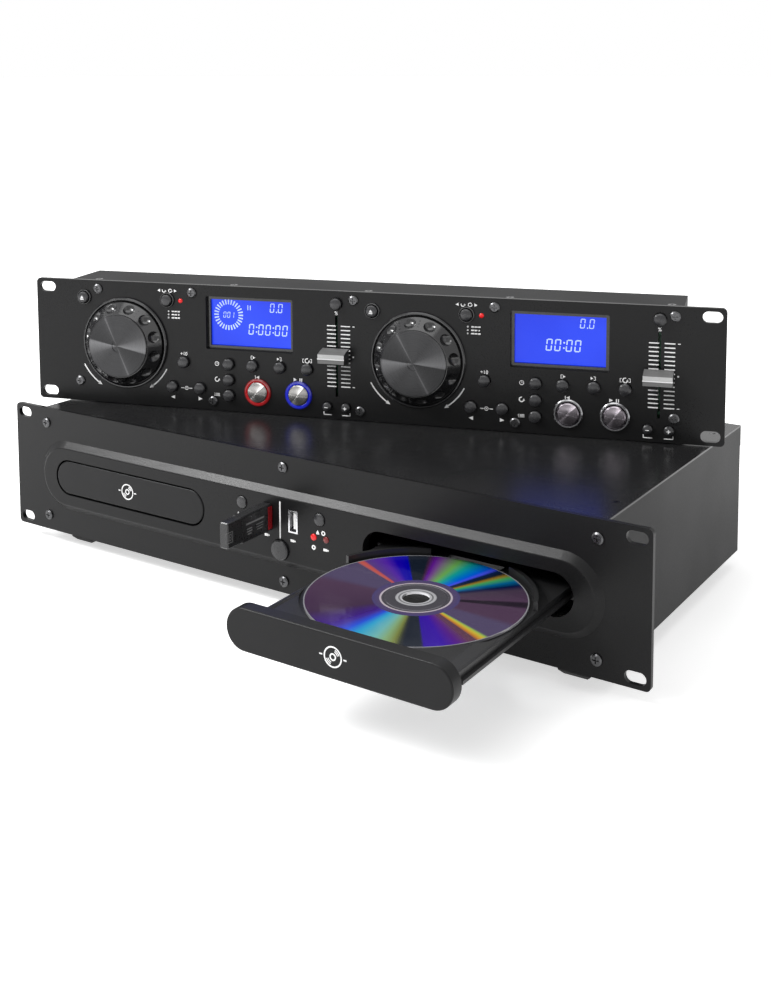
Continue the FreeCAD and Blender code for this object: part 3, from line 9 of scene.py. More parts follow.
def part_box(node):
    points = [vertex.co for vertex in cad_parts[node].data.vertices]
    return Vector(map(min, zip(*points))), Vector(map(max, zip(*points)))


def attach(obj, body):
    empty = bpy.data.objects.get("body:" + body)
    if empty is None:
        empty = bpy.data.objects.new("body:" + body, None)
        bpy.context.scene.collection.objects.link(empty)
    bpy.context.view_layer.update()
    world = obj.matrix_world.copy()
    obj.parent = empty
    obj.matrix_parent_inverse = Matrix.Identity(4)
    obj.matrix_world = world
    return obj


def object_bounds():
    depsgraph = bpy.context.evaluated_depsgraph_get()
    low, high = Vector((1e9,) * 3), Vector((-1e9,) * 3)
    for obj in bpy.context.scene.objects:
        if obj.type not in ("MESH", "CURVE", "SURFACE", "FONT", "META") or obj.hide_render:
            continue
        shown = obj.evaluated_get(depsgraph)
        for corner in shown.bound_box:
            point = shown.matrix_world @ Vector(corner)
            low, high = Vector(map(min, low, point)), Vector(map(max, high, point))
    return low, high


# Looks for the dual disc player. Metres in the scene; millimetres, through MM, where a mark is drawn on a
# panel, with x to the right and z up from the panel's middle.

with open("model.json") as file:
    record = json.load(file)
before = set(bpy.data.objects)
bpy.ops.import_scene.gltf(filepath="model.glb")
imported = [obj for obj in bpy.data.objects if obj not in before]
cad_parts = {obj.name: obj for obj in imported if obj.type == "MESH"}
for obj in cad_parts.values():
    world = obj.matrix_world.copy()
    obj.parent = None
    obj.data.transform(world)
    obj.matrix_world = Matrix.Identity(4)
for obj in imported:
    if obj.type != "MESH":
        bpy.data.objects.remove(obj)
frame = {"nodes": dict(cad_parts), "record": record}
cad_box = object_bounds()
nodes = frame["nodes"]
mounts = {mount["name"]: mount for mount in frame["record"]["mounts"]}

MM = 0.001
DECKS = ("left", "right")
BUTTONS = ("eject", "jog_mode", "plus_ten", "track_back", "track_forward", "time", "repeat", "program",
           "loop_in", "loop_out", "reloop", "pitch", "cue", "play", "bend_down", "bend_up")

# Camera: place in metres, angles in degrees, lens in millimetres, shift as a share of the picture
CAMERA_PLACE = (0.48287, -0.61800, 0.28138)
CAMERA_YAW = 33.32
CAMERA_DOWN = 5.78
CAMERA_ROLL = -0.22
CAMERA_LENS = 46.744
CAMERA_SHIFT = -0.30

# The floor's own glow near the object, the distances in metres between which that rises to white, and the
# world's strength for the rays that light the object
FLOOR_LIFT = 0.6
FLOOR_FADE = (0.28, 0.62)
FLOOR_HALF = 40.0
WORLD_LEVEL = 0.3

# Places and sizes that part.py sets, in millimetres from the middle of the unit's panel
PLATEAU_PROUD = 3.5
BOARD_FRONT = 15.5
USB_X, USB_Z = 10.1, 4.7
USB_TONGUE_HALVES = (0.95, 5.3)
USB_SHELL_HALVES = (3.8, 7.4)
LAMPS_X = (25.7, 35.1)
LAMP_Z = -1.8
LAMP_HALF = 2.3
STICK_HALF_WIDTH = 3.8
STICK_STEP = 0.5
STICK_COLLAR = (-7.6, -3.9)
JOG_LAMP_FROM_BUTTON, JOG_LAMP_HALF, JOG_LAMP_LOW, JOG_LAMP_BACK = 9.9, 1.8, 29.0, 11.5
CONTROLLER_SOCKETS_Y = 33.0
JOG_CAP_RADIUS = 22.3
JOG_CAP_PROUD = 11.2
LIT_RING_RADIUS = 10.5
LCD_FRONT = 5.4
FADER_LINE_HALF = 0.3


def panel_frame(mount):
    """A frame on a panel's face: x to the right, y into the panel, z up."""
    into = -Vector(mount["axis"])
    right = Vector((into.y, -into.x, 0))
    turn = Matrix((right, into, Vector((0, 0, 1)))).transposed().to_4x4()
    return Matrix.Translation(Vector(mount["pos_m"])) @ turn


PLAYER = panel_frame(mounts["player_rack_slots"])
CONTROLLER = panel_frame(mounts["controller_rack_slots"])
CONTROLLER_MIDDLE = CONTROLLER.translation.z / MM
INTO = CONTROLLER.to_3x3() @ Vector((0, 1, 0))


def middle(node):
    """The middle of a node's box, in metres."""
    low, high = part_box(node)
    return (low + high) / 2


def spot(panel, node):
    """Where a node's middle stands on a panel, as (x, z) in millimetres."""
    place = panel.inverted() @ middle(node)
    return place.x / MM, place.z / MM


def front_of(panel, node):
    """How far a node reaches out of its panel's face, in millimetres."""
    seen = [(panel.inverted() @ vertex.co).y for vertex in nodes[node].data.vertices]
    return -min(seen) / MM


# ---------------------------------------------------------------- shader helpers

class Shader:
    """A principled material and the few node patterns that the materials here are made of."""

    def __init__(self, name, color, rough, metal=0.0, **sockets):
        self.material = bpy.data.materials.new(name)
        self.material.use_nodes = True
        self.tree = self.material.node_tree
        self.bsdf = self.tree.nodes["Principled BSDF"]
        self.bsdf.inputs["Base Color"].default_value = (*color, 1)
        self.bsdf.inputs["Roughness"].default_value = rough
        self.bsdf.inputs["Metallic"].default_value = metal
        for socket, value in sockets.items():
            self.bsdf.inputs[socket.replace("_", " ")].default_value = value
        self.place = self.tree.nodes.new("ShaderNodeTexCoord").outputs["Object"]

    def node(self, kind, **settings):
        made = self.tree.nodes.new(kind)
        for key, value in settings.items():
            setattr(made, key, value)
        return made

    def link(self, source, target):
        self.tree.links.new(source, target)

    def math(self, operation, first, second=0.0):
        made = self.node("ShaderNodeMath", operation=operation)
        for socket, value in zip(made.inputs, (first, second)):
            if isinstance(value, (int, float)):
                socket.default_value = value
            else:
                self.link(value, socket)
        return made.outputs[0]

    def vector(self, operation, first, second=(0, 0, 0)):
        made = self.node("ShaderNodeVectorMath", operation=operation)
        for socket, value in zip(made.inputs, (first, second)):
            if isinstance(value, bpy.types.NodeSocket):
                self.link(value, socket)
            else:
                socket.default_value = value
        return made.outputs["Value"] if operation == "LENGTH" else made.outputs["Vector"]

    def noise(self, scale, detail=2.0, place=None):
        """Noise over the object's own coordinates, or over place."""
        made = self.node("ShaderNodeTexNoise")
        made.inputs["Scale"].default_value = scale
        made.inputs["Detail"].default_value = detail
        self.link(place or self.place, made.inputs["Vector"])
        return made.outputs["Fac"]

    def between(self, factor, low, high, start=0.3, end=0.7):
        """A number that goes from low to high as factor goes from start to end."""
        made = self.node("ShaderNodeMapRange")
        self.link(factor, made.inputs["Value"])
        for socket, value in zip(("From Min", "From Max", "To Min", "To Max"), (start, end, low, high)):
            made.inputs[socket].default_value = value
        return made.outputs["Result"]

    def ramp(self, factor, stops):
        """A colour from stops of (position, colour) along factor."""
        made = self.node("ShaderNodeValToRGB")
        while len(made.color_ramp.elements) < len(stops):
            made.color_ramp.elements.new(0.5)
        for element, (position, color) in zip(made.color_ramp.elements, sorted(stops)):
            element.position = position
            element.color = (*color, 1)
        self.link(factor, made.inputs["Fac"])
        return made.outputs["Color"]

    def mix(self, factor, first, second, blend="MIX"):
        made = self.node("ShaderNodeMix", data_type="RGBA", blend_type=blend)
        for socket, value in ((made.inputs["Factor"], factor), (made.inputs["A"], first),
                              (made.inputs["B"], second)):
            if isinstance(value, bpy.types.NodeSocket):
                self.link(value, socket)
            elif isinstance(value, (int, float)):
                socket.default_value = value
            else:
                socket.default_value = (*value, 1)
        return made.outputs["Result"]

    def color(self, source):
        self.link(source, self.bsdf.inputs["Base Color"])

    def rough(self, source):
        self.link(source, self.bsdf.inputs["Roughness"])

    def bump(self, height, depth, strength=1.0):
        made = self.node("ShaderNodeBump")
        made.inputs["Distance"].default_value = depth
        made.inputs["Strength"].default_value = strength
        self.link(height, made.inputs["Height"])
        self.link(made.outputs["Normal"], self.bsdf.inputs["Normal"])

    def radius(self, centre, axis):
        """Distance from an axis through centre."""
        arm = self.vector("SUBTRACT", self.place, centre)
        return self.vector("LENGTH", self.vector("CROSS_PRODUCT", arm, axis))

    def bearing(self, centre, right, up):
        """The angle round centre, as a share of a turn from right towards up."""
        arm = self.vector("SUBTRACT", self.place, centre)
        angle = self.math("ARCTAN2", self.dot(arm, up), self.dot(arm, right))
        turns = self.math("DIVIDE", angle, 2 * math.pi)
        return self.math("FRACT", self.math("ADD", turns, 1.0))

    def dot(self, first, second):
        made = self.node("ShaderNodeVectorMath", operation="DOT_PRODUCT")
        self.link(first, made.inputs[0])
        made.inputs[1].default_value = second
        return made.outputs["Value"]

    def brush(self, centre, axis, amount):
        """Grooves round an axis: highlights spread across them, in fans."""
        arm = self.vector("SUBTRACT", self.place, centre)
        along = self.node("ShaderNodeVectorMath", operation="CROSS_PRODUCT")
        along.inputs[0].default_value = axis
        self.link(arm, along.inputs[1])
        turned = self.node("ShaderNodeVectorTransform", vector_type="VECTOR",
                           convert_from="OBJECT", convert_to="WORLD")
        self.link(along.outputs["Vector"], turned.inputs["Vector"])
        self.link(turned.outputs["Vector"], self.bsdf.inputs["Tangent"])
        self.bsdf.inputs["Anisotropic"].default_value = amount

    def glow(self, source, strength):
        self.link(source, self.bsdf.inputs["Emission Color"])
        self.bsdf.inputs["Emission Strength"].default_value = strength


def shade(color, factor):
    """A lighter or darker colour."""
    return tuple(min(1.0, part * factor) for part in color)


# ---------------------------------------------------------------- materials

# Painted highlights on turned metal: how bright its colour is made along half a turn, a wide fan, then a narrow
# streak
SPUN_PAINTED_FANS = [(0.0, 1.0), (0.05, 0.8), (0.16, 0.42), (0.30, 0.32), (0.60, 0.30), (0.655, 0.36),
             (0.67, 0.75), (0.685, 0.36), (0.75, 0.30), (0.97, 0.26), (0.985, 0.9)]
SPUN_BRUSH = 0.75


def powder_coat(name, color, rough, grain=1500.0, depth=0.00007, **sockets):
    """Baked powder paint: a fine pebbled skin, slightly uneven in gloss."""
    skin = Shader(name, color, rough, **sockets)
    pebbles = skin.noise(grain, 3.0)
    patches = skin.noise(14.0, 2.0)
    skin.color(skin.mix(skin.between(pebbles, 0.0, 1.0), shade(color, 0.8), shade(color, 1.25)))
    skin.rough(skin.math("ADD", skin.between(patches, rough - 0.03, rough + 0.03),
                         skin.between(pebbles, -0.03, 0.03)))
    skin.bump(pebbles, depth, 0.6)
    return skin.material


def moulded(name, color, rough, grain=1500.0, depth=0.00002, **sockets):
    """Injection-moulded plastic: a fine even texture and faint flow marks."""
    skin = Shader(name, color, rough, **sockets)
    texture = skin.noise(grain, 2.0)
    flow = skin.noise(30.0, 3.0)
    skin.color(skin.mix(skin.between(flow, 0.0, 1.0), shade(color, 0.88), shade(color, 1.12)))
    skin.rough(skin.between(texture, rough - 0.05, rough + 0.05))
    skin.bump(texture, depth, 0.5)
    return skin.material


def spun_metal(name, color, rough, centre, axis, start=0.0, pitch=0.0003, depth=0.00003):
    """Metal turned on a lathe: fine grooves round an axis, with paired fans of painted highlight in its colour
    that begin at start, a share of half a turn."""
    skin = Shader(name, color, rough, 1.0)
    radius = skin.radius(centre, axis)
    line = skin.node("ShaderNodeCombineXYZ")
    skin.link(skin.math("DIVIDE", radius, pitch), line.inputs["X"])
    grooves = skin.noise(1.0, 2.0, line.outputs["Vector"])
    tone = skin.mix(skin.between(grooves, 0.0, 1.0), shade(color, 0.75), shade(color, 1.2))
    right = Vector((0, 0, 1)).cross(axis)
    half_turns = skin.math("MULTIPLY", skin.bearing(centre, -right, (0, 0, 1)), 2.0)
    share = skin.math("FRACT", skin.math("ADD", half_turns, 1.0 - start))
    # painted highlight: bright fans multiplied into the colour round the axis
    painted_fans = skin.ramp(share, [(place, (level,) * 3) for place, level in SPUN_PAINTED_FANS])
    skin.color(skin.mix(1.0, tone, painted_fans, "MULTIPLY"))
    skin.rough(skin.between(grooves, rough - 0.06, rough + 0.06))
    skin.bump(grooves, depth, 0.8)
    skin.brush(centre, axis, SPUN_BRUSH)
    return skin.material


def bright_metal(name, color, rough):
    """Plated or rolled metal with faint streaks."""
    skin = Shader(name, color, rough, 1.0)
    streaks = skin.noise(900.0, 4.0)
    skin.color(skin.mix(streaks, shade(color, 0.85), shade(color, 1.1)))
    skin.rough(skin.between(streaks, rough - 0.05, rough + 0.08))
    skin.bump(streaks, 0.000005, 0.4)
    return skin.material


def lit(name, color, strength, core):
    """A lamp's lens or a backlit mark: its glow goes between two colours in patches."""
    skin = Shader(name, shade(color, 0.6), 0.25)
    cloud = skin.noise(400.0, 1.0)
    glow = skin.mix(skin.between(cloud, 0.0, 0.25), color, core)
    skin.color(skin.mix(skin.between(cloud, 0.0, 0.2), shade(color, 0.6), color))
    skin.glow(glow, strength)
    return skin.material


# Where a lit ring goes from bright to dim, in metres from its middle
LIT_RING_EDGES = (0.0072, 0.0098)


def lit_ring(name, node, color, core):
    """A ring round a button, lit from behind, brightest at its inner edge, under clear plastic."""
    skin = Shader(name, shade(color, 0.4), 0.16, Coat_Weight=0.4, Coat_Roughness=0.1)
    out = skin.radius(middle(node), INTO)
    glow = skin.mix(skin.between(out, 0.0, 1.0, *LIT_RING_EDGES), core, color)
    skin.color(skin.mix(skin.noise(400.0, 1.0), shade(color, 0.3), shade(color, 0.5)))
    skin.glow(glow, 1.0)
    return skin.material


def circuit_board(name):
    """Green solder mask with pale tracks."""
    skin = Shader(name, (0.02, 0.12, 0.05), 0.35)
    tracks = skin.node("ShaderNodeTexBrick")
    tracks.inputs["Scale"].default_value = 160.0
    tracks.inputs["Mortar Size"].default_value = 0.04
    tracks.inputs["Color1"].default_value = (0.02, 0.12, 0.05, 1)
    tracks.inputs["Color2"].default_value = (0.025, 0.15, 0.06, 1)
    tracks.inputs["Mortar"].default_value = (0.05, 0.26, 0.12, 1)
    skin.link(skin.place, tracks.inputs["Vector"])
    skin.color(tracks.outputs["Color"])
    skin.rough(skin.between(skin.noise(300.0), 0.3, 0.42))
    return skin.material


# ---------------------------------------------------------------- marks drawn on a face

class Marks:
    """Flat marks on a face proud of a panel, as one mesh: outlines in millimetres, of a hair's thickness."""

    def __init__(self, panel, proud, thick=0.06):
        self.mesh = bmesh.new()
        self.panel = panel
        self.near = -proud - thick
        self.far = -proud

    def shape(self, outline):
        """A flat plate with this outline of (x, z) points."""
        points = [point for index, point in enumerate(outline) if point != outline[index - 1]]
        near, far = ([self.mesh.verts.new(self.panel @ Vector((x * MM, y * MM, z * MM))) for x, z in points]
                     for y in (self.near, self.far))
        self.mesh.faces.new(near)
        self.mesh.faces.new(far[::-1])
        for index in range(len(points)):
            self.mesh.faces.new((near[index - 1], far[index - 1], far[index], near[index]))

    def bar(self, x, z, width, height, lean=0.0):
        half, rise = width / 2, height / 2
        self.shape([(x - half - lean, z - rise), (x + half - lean, z - rise),
                    (x + half + lean, z + rise), (x - half + lean, z + rise)])

    def arrow(self, x, z, width, height, angle=0.0):
        """A filled triangle that points along angle, in degrees from +x."""
        turn = Matrix.Rotation(math.radians(angle), 2)
        corners = [Vector((width / 2, 0)), Vector((-width / 2, height / 2)), Vector((-width / 2, -height / 2))]
        self.shape([(x + (turn @ corner).x, z + (turn @ corner).y) for corner in corners])

    def band(self, x, z, inner, outer, start=0.0, end=360.0, steps=24):
        """A stretch of a ring, from start to end in degrees. A whole ring is made of two halves."""
        parts = 2 if end - start > 359 else 1
        for part in range(parts):
            low = start + (end - start) * part / parts
            high = start + (end - start) * (part + 1) / parts
            angles = [math.radians(low + (high - low) * step / steps) for step in range(steps + 1)]
            rim = [(x + outer * math.cos(a), z + outer * math.sin(a)) for a in angles]
            bore = [(x + inner * math.cos(a), z + inner * math.sin(a)) for a in reversed(angles)]
            self.shape(rim + bore)

    def dot(self, x, z, radius, steps=16):
        self.shape([(x + radius * math.cos(2 * math.pi * step / steps),
                     z + radius * math.sin(2 * math.pi * step / steps)) for step in range(steps)])

    def digits(self, x, z, height, text, lean=0.06):
        """Seven-segment figures, from their left edge; a colon or a point takes a narrow place."""
        segments = {"0": "abcdef", "1": "bc", "8": "abcdefg"}
        width, line = height * 0.5, height * 0.1
        for sign in text:
            if sign in ":.":
                for level in ((-0.22, 0.22) if sign == ":" else (-0.44,)):
                    self.dot(x + line * 0.6 + lean * height * level, z + height * level, line * 0.75, 8)
                x += width * 0.45
                continue
            for key in segments[sign]:
                row = {"a": 0.5, "g": 0.0, "d": -0.5}.get(key)
                if row is not None:
                    self.bar(x + width / 2 + lean * height * row * 2, z + (height - line) * row,
                             width - 1.5 * line, line)
                else:
                    side = width - line / 2 if key in "bc" else line / 2
                    level = 0.25 if key in "bf" else -0.25
                    self.bar(x + side + lean * height * level * 2, z + height * level, line,
                             height / 2 - 1.2 * line, lean * height / 4)
            x += width * 1.4

    def word(self, x, z, height, text):
        """Signs and numbers in the built-in font, centred on x and z."""
        curve = bpy.data.curves.new("lettering", "FONT")
        curve.body, curve.size = text, height * 1.4 * MM
        curve.align_x = curve.align_y = "CENTER"
        curve.extrude = abs(self.near - self.far) / 2 * MM
        curve.offset = 0.05 * MM
        holder = bpy.data.objects.new("lettering", curve)
        letters = bpy.data.meshes.new_from_object(holder)
        upright = Matrix.Rotation(math.pi / 2, 4, "X")
        place = Matrix.Translation(Vector((x, (self.near + self.far) / 2, z)) * MM)
        letters.transform(self.panel @ place @ upright)
        self.mesh.from_mesh(letters)
        bpy.data.objects.remove(holder)
        bpy.data.curves.remove(curve)
        bpy.data.meshes.remove(letters)

    def finish(self, name, body, material):
        bmesh.ops.recalc_face_normals(self.mesh, faces=self.mesh.faces)
        return piece(name, self.mesh, body, material)


def piece(name, mesh, body, material):
    """A new piece of this mesh that rides a body."""
    data = bpy.data.meshes.new(name)
    mesh.to_mesh(data)
    mesh.free()
    data.materials.append(material)
    made = bpy.data.objects.new(name, data)
    bpy.context.scene.collection.objects.link(made)
    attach(made, body)
    return made


# ---------------------------------------------------------------- the disc, the displays and the materials

DISC_CENTRE = middle("compact_disc")
DISC_RADIUS = 0.060
DISC_RIM = 0.0007
DISC_HUB_RADIUS = 0.0235
# Painted reflections and rainbow glints that fan out from the disc's centre, by share of a turn from the right
# towards the back
MAROON, SLATE, SHADOW = (0.085, 0.042, 0.090), (0.092, 0.070, 0.150), (0.010, 0.016, 0.030)
BACK_PAINTED_GLINTS = [(0.0, MAROON), (0.050, MAROON), (0.056, (0.016, 0.008, 0.020)), (0.070, (0.016, 0.008, 0.020)),
             (0.076, MAROON), (0.118, (0.070, 0.046, 0.080)), (0.134, (0.002, 0.006, 0.060)),
             (0.150, (0.00, 0.13, 0.32)), (0.166, (0.06, 0.42, 0.12)), (0.176, (0.34, 0.20, 0.02)),
             (0.184, SHADOW), (0.196, (0.004, 0.020, 0.10)), (0.203, (0.07, 0.10, 1.0)),
             (0.212, (0.0, 0.12, 0.85)), (0.228, (0.0, 0.24, 0.60)), (0.246, (0.01, 0.42, 0.33)),
             (0.266, (0.17, 0.48, 0.10)), (0.284, (0.20, 0.22, 0.20)), (0.296, (0.20, 0.07, 0.30)),
             (0.306, (0.13, 0.01, 0.31)), (0.315, (0.06, 0.02, 0.06)), (0.320, SHADOW), (0.350, SHADOW),
             (0.353, (0.0, 0.0, 0.42)), (0.374, (0.01, 0.0, 0.44)), (0.392, (0.10, 0.02, 0.42)),
             (0.420, (0.11, 0.05, 0.24)), (0.4245, (0.62, 0.10, 0.08)), (0.431, (0.62, 0.12, 0.10)),
             (0.435, SLATE), (0.500, SLATE)]
FRONT_PAINTED_GLINTS = [(0.500, SLATE), (0.520, MAROON), (0.640, (0.060, 0.028, 0.070)), (0.690, (0.05, 0.01, 0.24)),
              (0.705, (0.06, 0.03, 0.36)), (0.724, (0.02, 0.09, 0.78)), (0.745, (0.03, 0.42, 0.70)),
              (0.775, (0.18, 0.52, 0.50)), (0.792, (0.26, 0.46, 0.22)), (0.806, (0.22, 0.26, 0.06)),
              (0.816, (0.03, 0.035, 0.03)), (0.822, SHADOW), (0.846, SHADOW), (0.850, (0.03, 0.0, 0.36)),
              (0.876, (0.04, 0.0, 0.40)), (0.896, (0.10, 0.01, 0.26)), (0.912, (0.14, 0.05, 0.10)),
              (0.922, (0.12, 0.05, 0.08)), (0.926, (0.60, 0.20, 0.03)), (0.933, (0.72, 0.52, 0.04)),
              (0.938, (0.35, 0.55, 0.10)), (0.942, SLATE), (0.985, SLATE), (1.0, MAROON)]
# The clear hub from its hole outwards, in metres from the centre
HUB_RINGS = [(0.0, (0.60, 0.60, 0.62)), (0.0084, (0.60, 0.60, 0.62)), (0.0087, (0.20, 0.20, 0.21)),
             (0.0094, (0.20, 0.20, 0.21)), (0.0096, (0.55, 0.55, 0.57)), (0.0108, (0.50, 0.50, 0.52)),
             (0.0112, (0.075, 0.072, 0.085)), (0.0184, (0.085, 0.080, 0.095)), (0.0186, (0.62, 0.55, 0.60)),
             (0.0194, (0.62, 0.55, 0.60)), (0.0197, (0.10, 0.07, 0.16)), (0.0235, (0.075, 0.06, 0.19))]


def disc_film():
    """A mirrored disc: painted reflections and rainbow glints that fan out from its centre, round a ringed hub,
    with a pale rim.
    """
    film = Shader("disc_film", MAROON, 0.16, 0.3, Coat_Weight=0.35, Coat_Roughness=0.05)
    turn = film.bearing(DISC_CENTRE, (1, 0, 0), (0, 1, 0))
    radius = film.radius(DISC_CENTRE, (0, 0, 1))
    half_turns = film.math("MULTIPLY", turn, 2.0)
    back = film.ramp(half_turns, [(2 * place, color) for place, color in BACK_PAINTED_GLINTS])
    front = film.ramp(film.math("SUBTRACT", half_turns, 1.0),
                      [(2 * place - 1, color) for place, color in FRONT_PAINTED_GLINTS])
    # painted reflections and rainbow glints, fixed in the disc's colour
    painted_fans = film.mix(film.math("GREATER_THAN", turn, 0.5), back, front)
    hub = film.ramp(film.math("DIVIDE", radius, DISC_HUB_RADIUS),
                    [(place / DISC_HUB_RADIUS, color) for place, color in HUB_RINGS])
    face = film.mix(film.math("LESS_THAN", radius, DISC_HUB_RADIUS), painted_fans, hub)
    rim = film.math("GREATER_THAN", radius, DISC_RADIUS - DISC_RIM)
    film.color(film.mix(rim, face, (0.32, 0.32, 0.34)))
    tracks = film.node("ShaderNodeCombineXYZ")
    film.link(film.math("DIVIDE", radius, 0.0005), tracks.inputs["X"])
    film.bump(film.noise(1.0, 1.0, tracks.outputs["Vector"]), 0.000003, 0.4)
    film.rough(film.between(film.noise(35.0), 0.13, 0.20))
    return film.material


def backlit_glass():
    """A lit display: deep blue, a little brighter in patches."""
    glass = Shader("backlit_glass", (0.0, 0.01, 0.10), 0.12, Specular_IOR_Level=0.2)
    cloud = glass.noise(26.0, 1.0)
    glow = glass.mix(glass.between(cloud, 0.0, 1.0), (0.012, 0.042, 0.78), (0.020, 0.062, 0.90))
    glass.glow(glow, 1.0)
    glass.rough(glass.between(glass.noise(700.0), 0.10, 0.14))
    return glass.material


def spun_cap(name, color, rough, node, **settings):
    """Turned metal for a round control of the controller."""
    return spun_metal(name, color, rough, middle(node), INTO, **settings)


MATERIALS = {
    "panel": powder_coat("panel_powder", (0.0065, 0.0065, 0.0068), 0.31, Specular_IOR_Level=0.18),
    "case": powder_coat("case_powder", (0.012, 0.012, 0.0125), 0.58, Specular_IOR_Level=0.12),
    "side": powder_coat("side_powder", (0.009, 0.009, 0.0094), 0.45, Specular_IOR_Level=0.13),
    "roof": powder_coat("roof_powder", (0.011, 0.011, 0.0114), 0.26, grain=2000.0, depth=0.00001,
                        Specular_IOR_Level=0.36),
    "rubber": moulded("foot_rubber", (0.012, 0.012, 0.012), 0.75, grain=900.0, depth=0.00006),
    "screw": bright_metal("black_zinc", (0.09, 0.09, 0.093), 0.26),
    "plastic": moulded("tray_plastic", (0.012, 0.012, 0.0125), 0.36, Specular_IOR_Level=0.36),
    "door": moulded("door_plastic", (0.009, 0.009, 0.0095), 0.34, grain=2200.0, Specular_IOR_Level=0.17),
    "loader": moulded("loader_plastic", (0.030, 0.030, 0.031), 0.5),
    "gear": moulded("gear_plastic", (0.62, 0.60, 0.54), 0.4),
    "button": moulded("button_plastic", (0.020, 0.020, 0.022), 0.28, grain=2600.0, depth=0.00001),
    "gloss": moulded("gloss_plastic", (0.010, 0.010, 0.011), 0.2, grain=400.0, depth=0.000004),
    "board": circuit_board("circuit_board"),
    "steel": bright_metal("plated_steel", (0.72, 0.72, 0.74), 0.22),
    "white": moulded("white_plastic", (0.75, 0.75, 0.74), 0.4),
    "red_lamp": lit("red_lamp", (0.50, 0.002, 0.003), 0.9, (0.70, 0.015, 0.015)),
    "dim_lamp": moulded("unlit_lamp", (0.16, 0.01, 0.01), 0.22),
    "red_ring": lit_ring("red_ring", "left_cue_button", (0.09, 0.001, 0.002), (0.42, 0.005, 0.008)),
    "blue_ring": lit_ring("blue_ring", "left_play_button", (0.002, 0.003, 0.15), (0.010, 0.022, 0.55)),
    "ring": bright_metal("ring_chrome", (0.34, 0.34, 0.35), 0.2),
    "bezel": moulded("bezel_gloss", (0.012, 0.012, 0.013), 0.16, grain=500.0, depth=0.000004),
    "mark": moulded("white_print", (0.82, 0.82, 0.82), 0.5),
    "grey_mark": moulded("grey_print", (0.20, 0.20, 0.20), 0.5),
    "disc": disc_film(),
    "stick": moulded("stick_plastic", (0.016, 0.016, 0.017), 0.30, grain=1200.0),
    "collar": moulded("collar_plastic", (0.26, 0.006, 0.010), 0.30, grain=1200.0),
    "lcd": backlit_glass(),
    "segment": lit("lit_segment", (0.34, 0.44, 0.92), 1.0, (0.46, 0.55, 0.96)),
    # The fader cap's front: painted highlight above its white line and painted shade below it
    "fader_light": moulded("fader_silver", (0.50, 0.50, 0.50), 0.3),
    "fader_mid": moulded("fader_grey_painted_shade", (0.13, 0.13, 0.13), 0.35),
    "fader_dark": moulded("fader_dark", (0.03, 0.03, 0.03), 0.35),
}
# Where the painted highlight fans on each turned cap start, as a share of half a turn
CAP_PAINTED_FANS = {"left": 0.96, "right": 0.99}
TRANSPORT_PAINTED_FANS = {"cue": 0.25, "play": 0.30}
# The cue and play caps' colour by deck: painted light and shade on one metal, the left deck's lighter and
# warmer, the right deck's darker
TRANSPORT_LIT_AND_SHADED_TINTS = {"left": (0.95, 0.90, 0.84), "right": (0.66, 0.60, 0.66)}
for deck in DECKS:
    MATERIALS[deck + "_cap"] = spun_cap(deck + "_jog_cap", (0.13, 0.13, 0.134), 0.3, deck + "_jog_wheel",
                                        start=CAP_PAINTED_FANS[deck])
    MATERIALS[deck + "_rim"] = moulded(deck + "_jog_rim", (0.013, 0.013, 0.014), 0.15, grain=1200.0,
                                       depth=0.000006, Specular_IOR_Level=0.6)
    for name, start in TRANSPORT_PAINTED_FANS.items():
        button = deck + "_" + name
        MATERIALS[button] = spun_cap(button + "_cap", TRANSPORT_LIT_AND_SHADED_TINTS[deck], 0.2, button + "_button",
                                     start=start, depth=0.00001)


# ---------------------------------------------------------------- the nodes' materials

def dress(node, *rules):
    """Gives each of a node's faces the material of the first rule that it passes. A rule is a material's name
    and a test of the face's middle and normal, or None for every face."""
    holder = nodes[node]
    holder.data.materials.clear()
    names = sorted({name for name, _ in rules})
    for name in names:
        holder.data.materials.append(MATERIALS[name])
    for face in holder.data.polygons:
        chosen = next(name for name, test in rules if test is None or test(face.center, face.normal))
        face.material_index = names.index(chosen)


def block(x, z, half_width, half_height):
    """A test for faces in front of the player's front board and inside a rectangle of its panel."""
    return lambda place, _: (place.y < BOARD_FRONT * MM and abs(place.x / MM - x) < half_width
                             and abs(place.z / MM - z) < half_height)


# Where each loader's bare metal is, its spindle and sled, in metres
METAL_X, METAL_HALF, METAL_LOW, METAL_HIGH, METAL_NEAR = 0.13, 0.028, -0.0175, -0.0035, 0.055
PLAYER_SOCKETS_Y = 0.2065


def dress_player():
    for node, material in (("player_front_panel", "panel"), ("player_chassis", "side"),
                           ("player_top_cover", "roof"), ("player_feet", "rubber"),
                           ("player_screws", "screw"), ("power_button", "button"),
                           ("compact_disc", "disc")):
        dress(node, (material, None))
    dress("memory_stick", ("steel", lambda place, _: place.y > STICK_COLLAR[1] * MM),
          ("collar", lambda place, _: place.y > STICK_COLLAR[0] * MM), ("stick", None))
    for deck in DECKS:
        for part, material in (("tray", "plastic"), ("tray_door", "door"), ("loading_gear", "gear"),
                               ("source_button", "button")):
            dress(deck + "_" + part, (material, None))
    dress("disc_loaders",
          ("steel", lambda place, _: (METAL_LOW < place.z < METAL_HIGH and place.y > METAL_NEAR
                                      and abs(abs(place.x) - METAL_X) < METAL_HALF)),
          ("loader", None))
    dress("player_main_board",
          ("white", block(USB_X, USB_Z, *USB_TONGUE_HALVES)),
          ("steel", block(USB_X, USB_Z, *USB_SHELL_HALVES)),
          ("steel", block(-USB_X, USB_Z, *USB_SHELL_HALVES)),
          ("red_lamp", block(LAMPS_X[0], LAMP_Z, LAMP_HALF, LAMP_HALF)),
          ("dim_lamp", block(LAMPS_X[1], LAMP_Z, LAMP_HALF, LAMP_HALF)),
          ("gloss", lambda place, _: place.y > PLAYER_SOCKETS_Y),
          ("board", None))


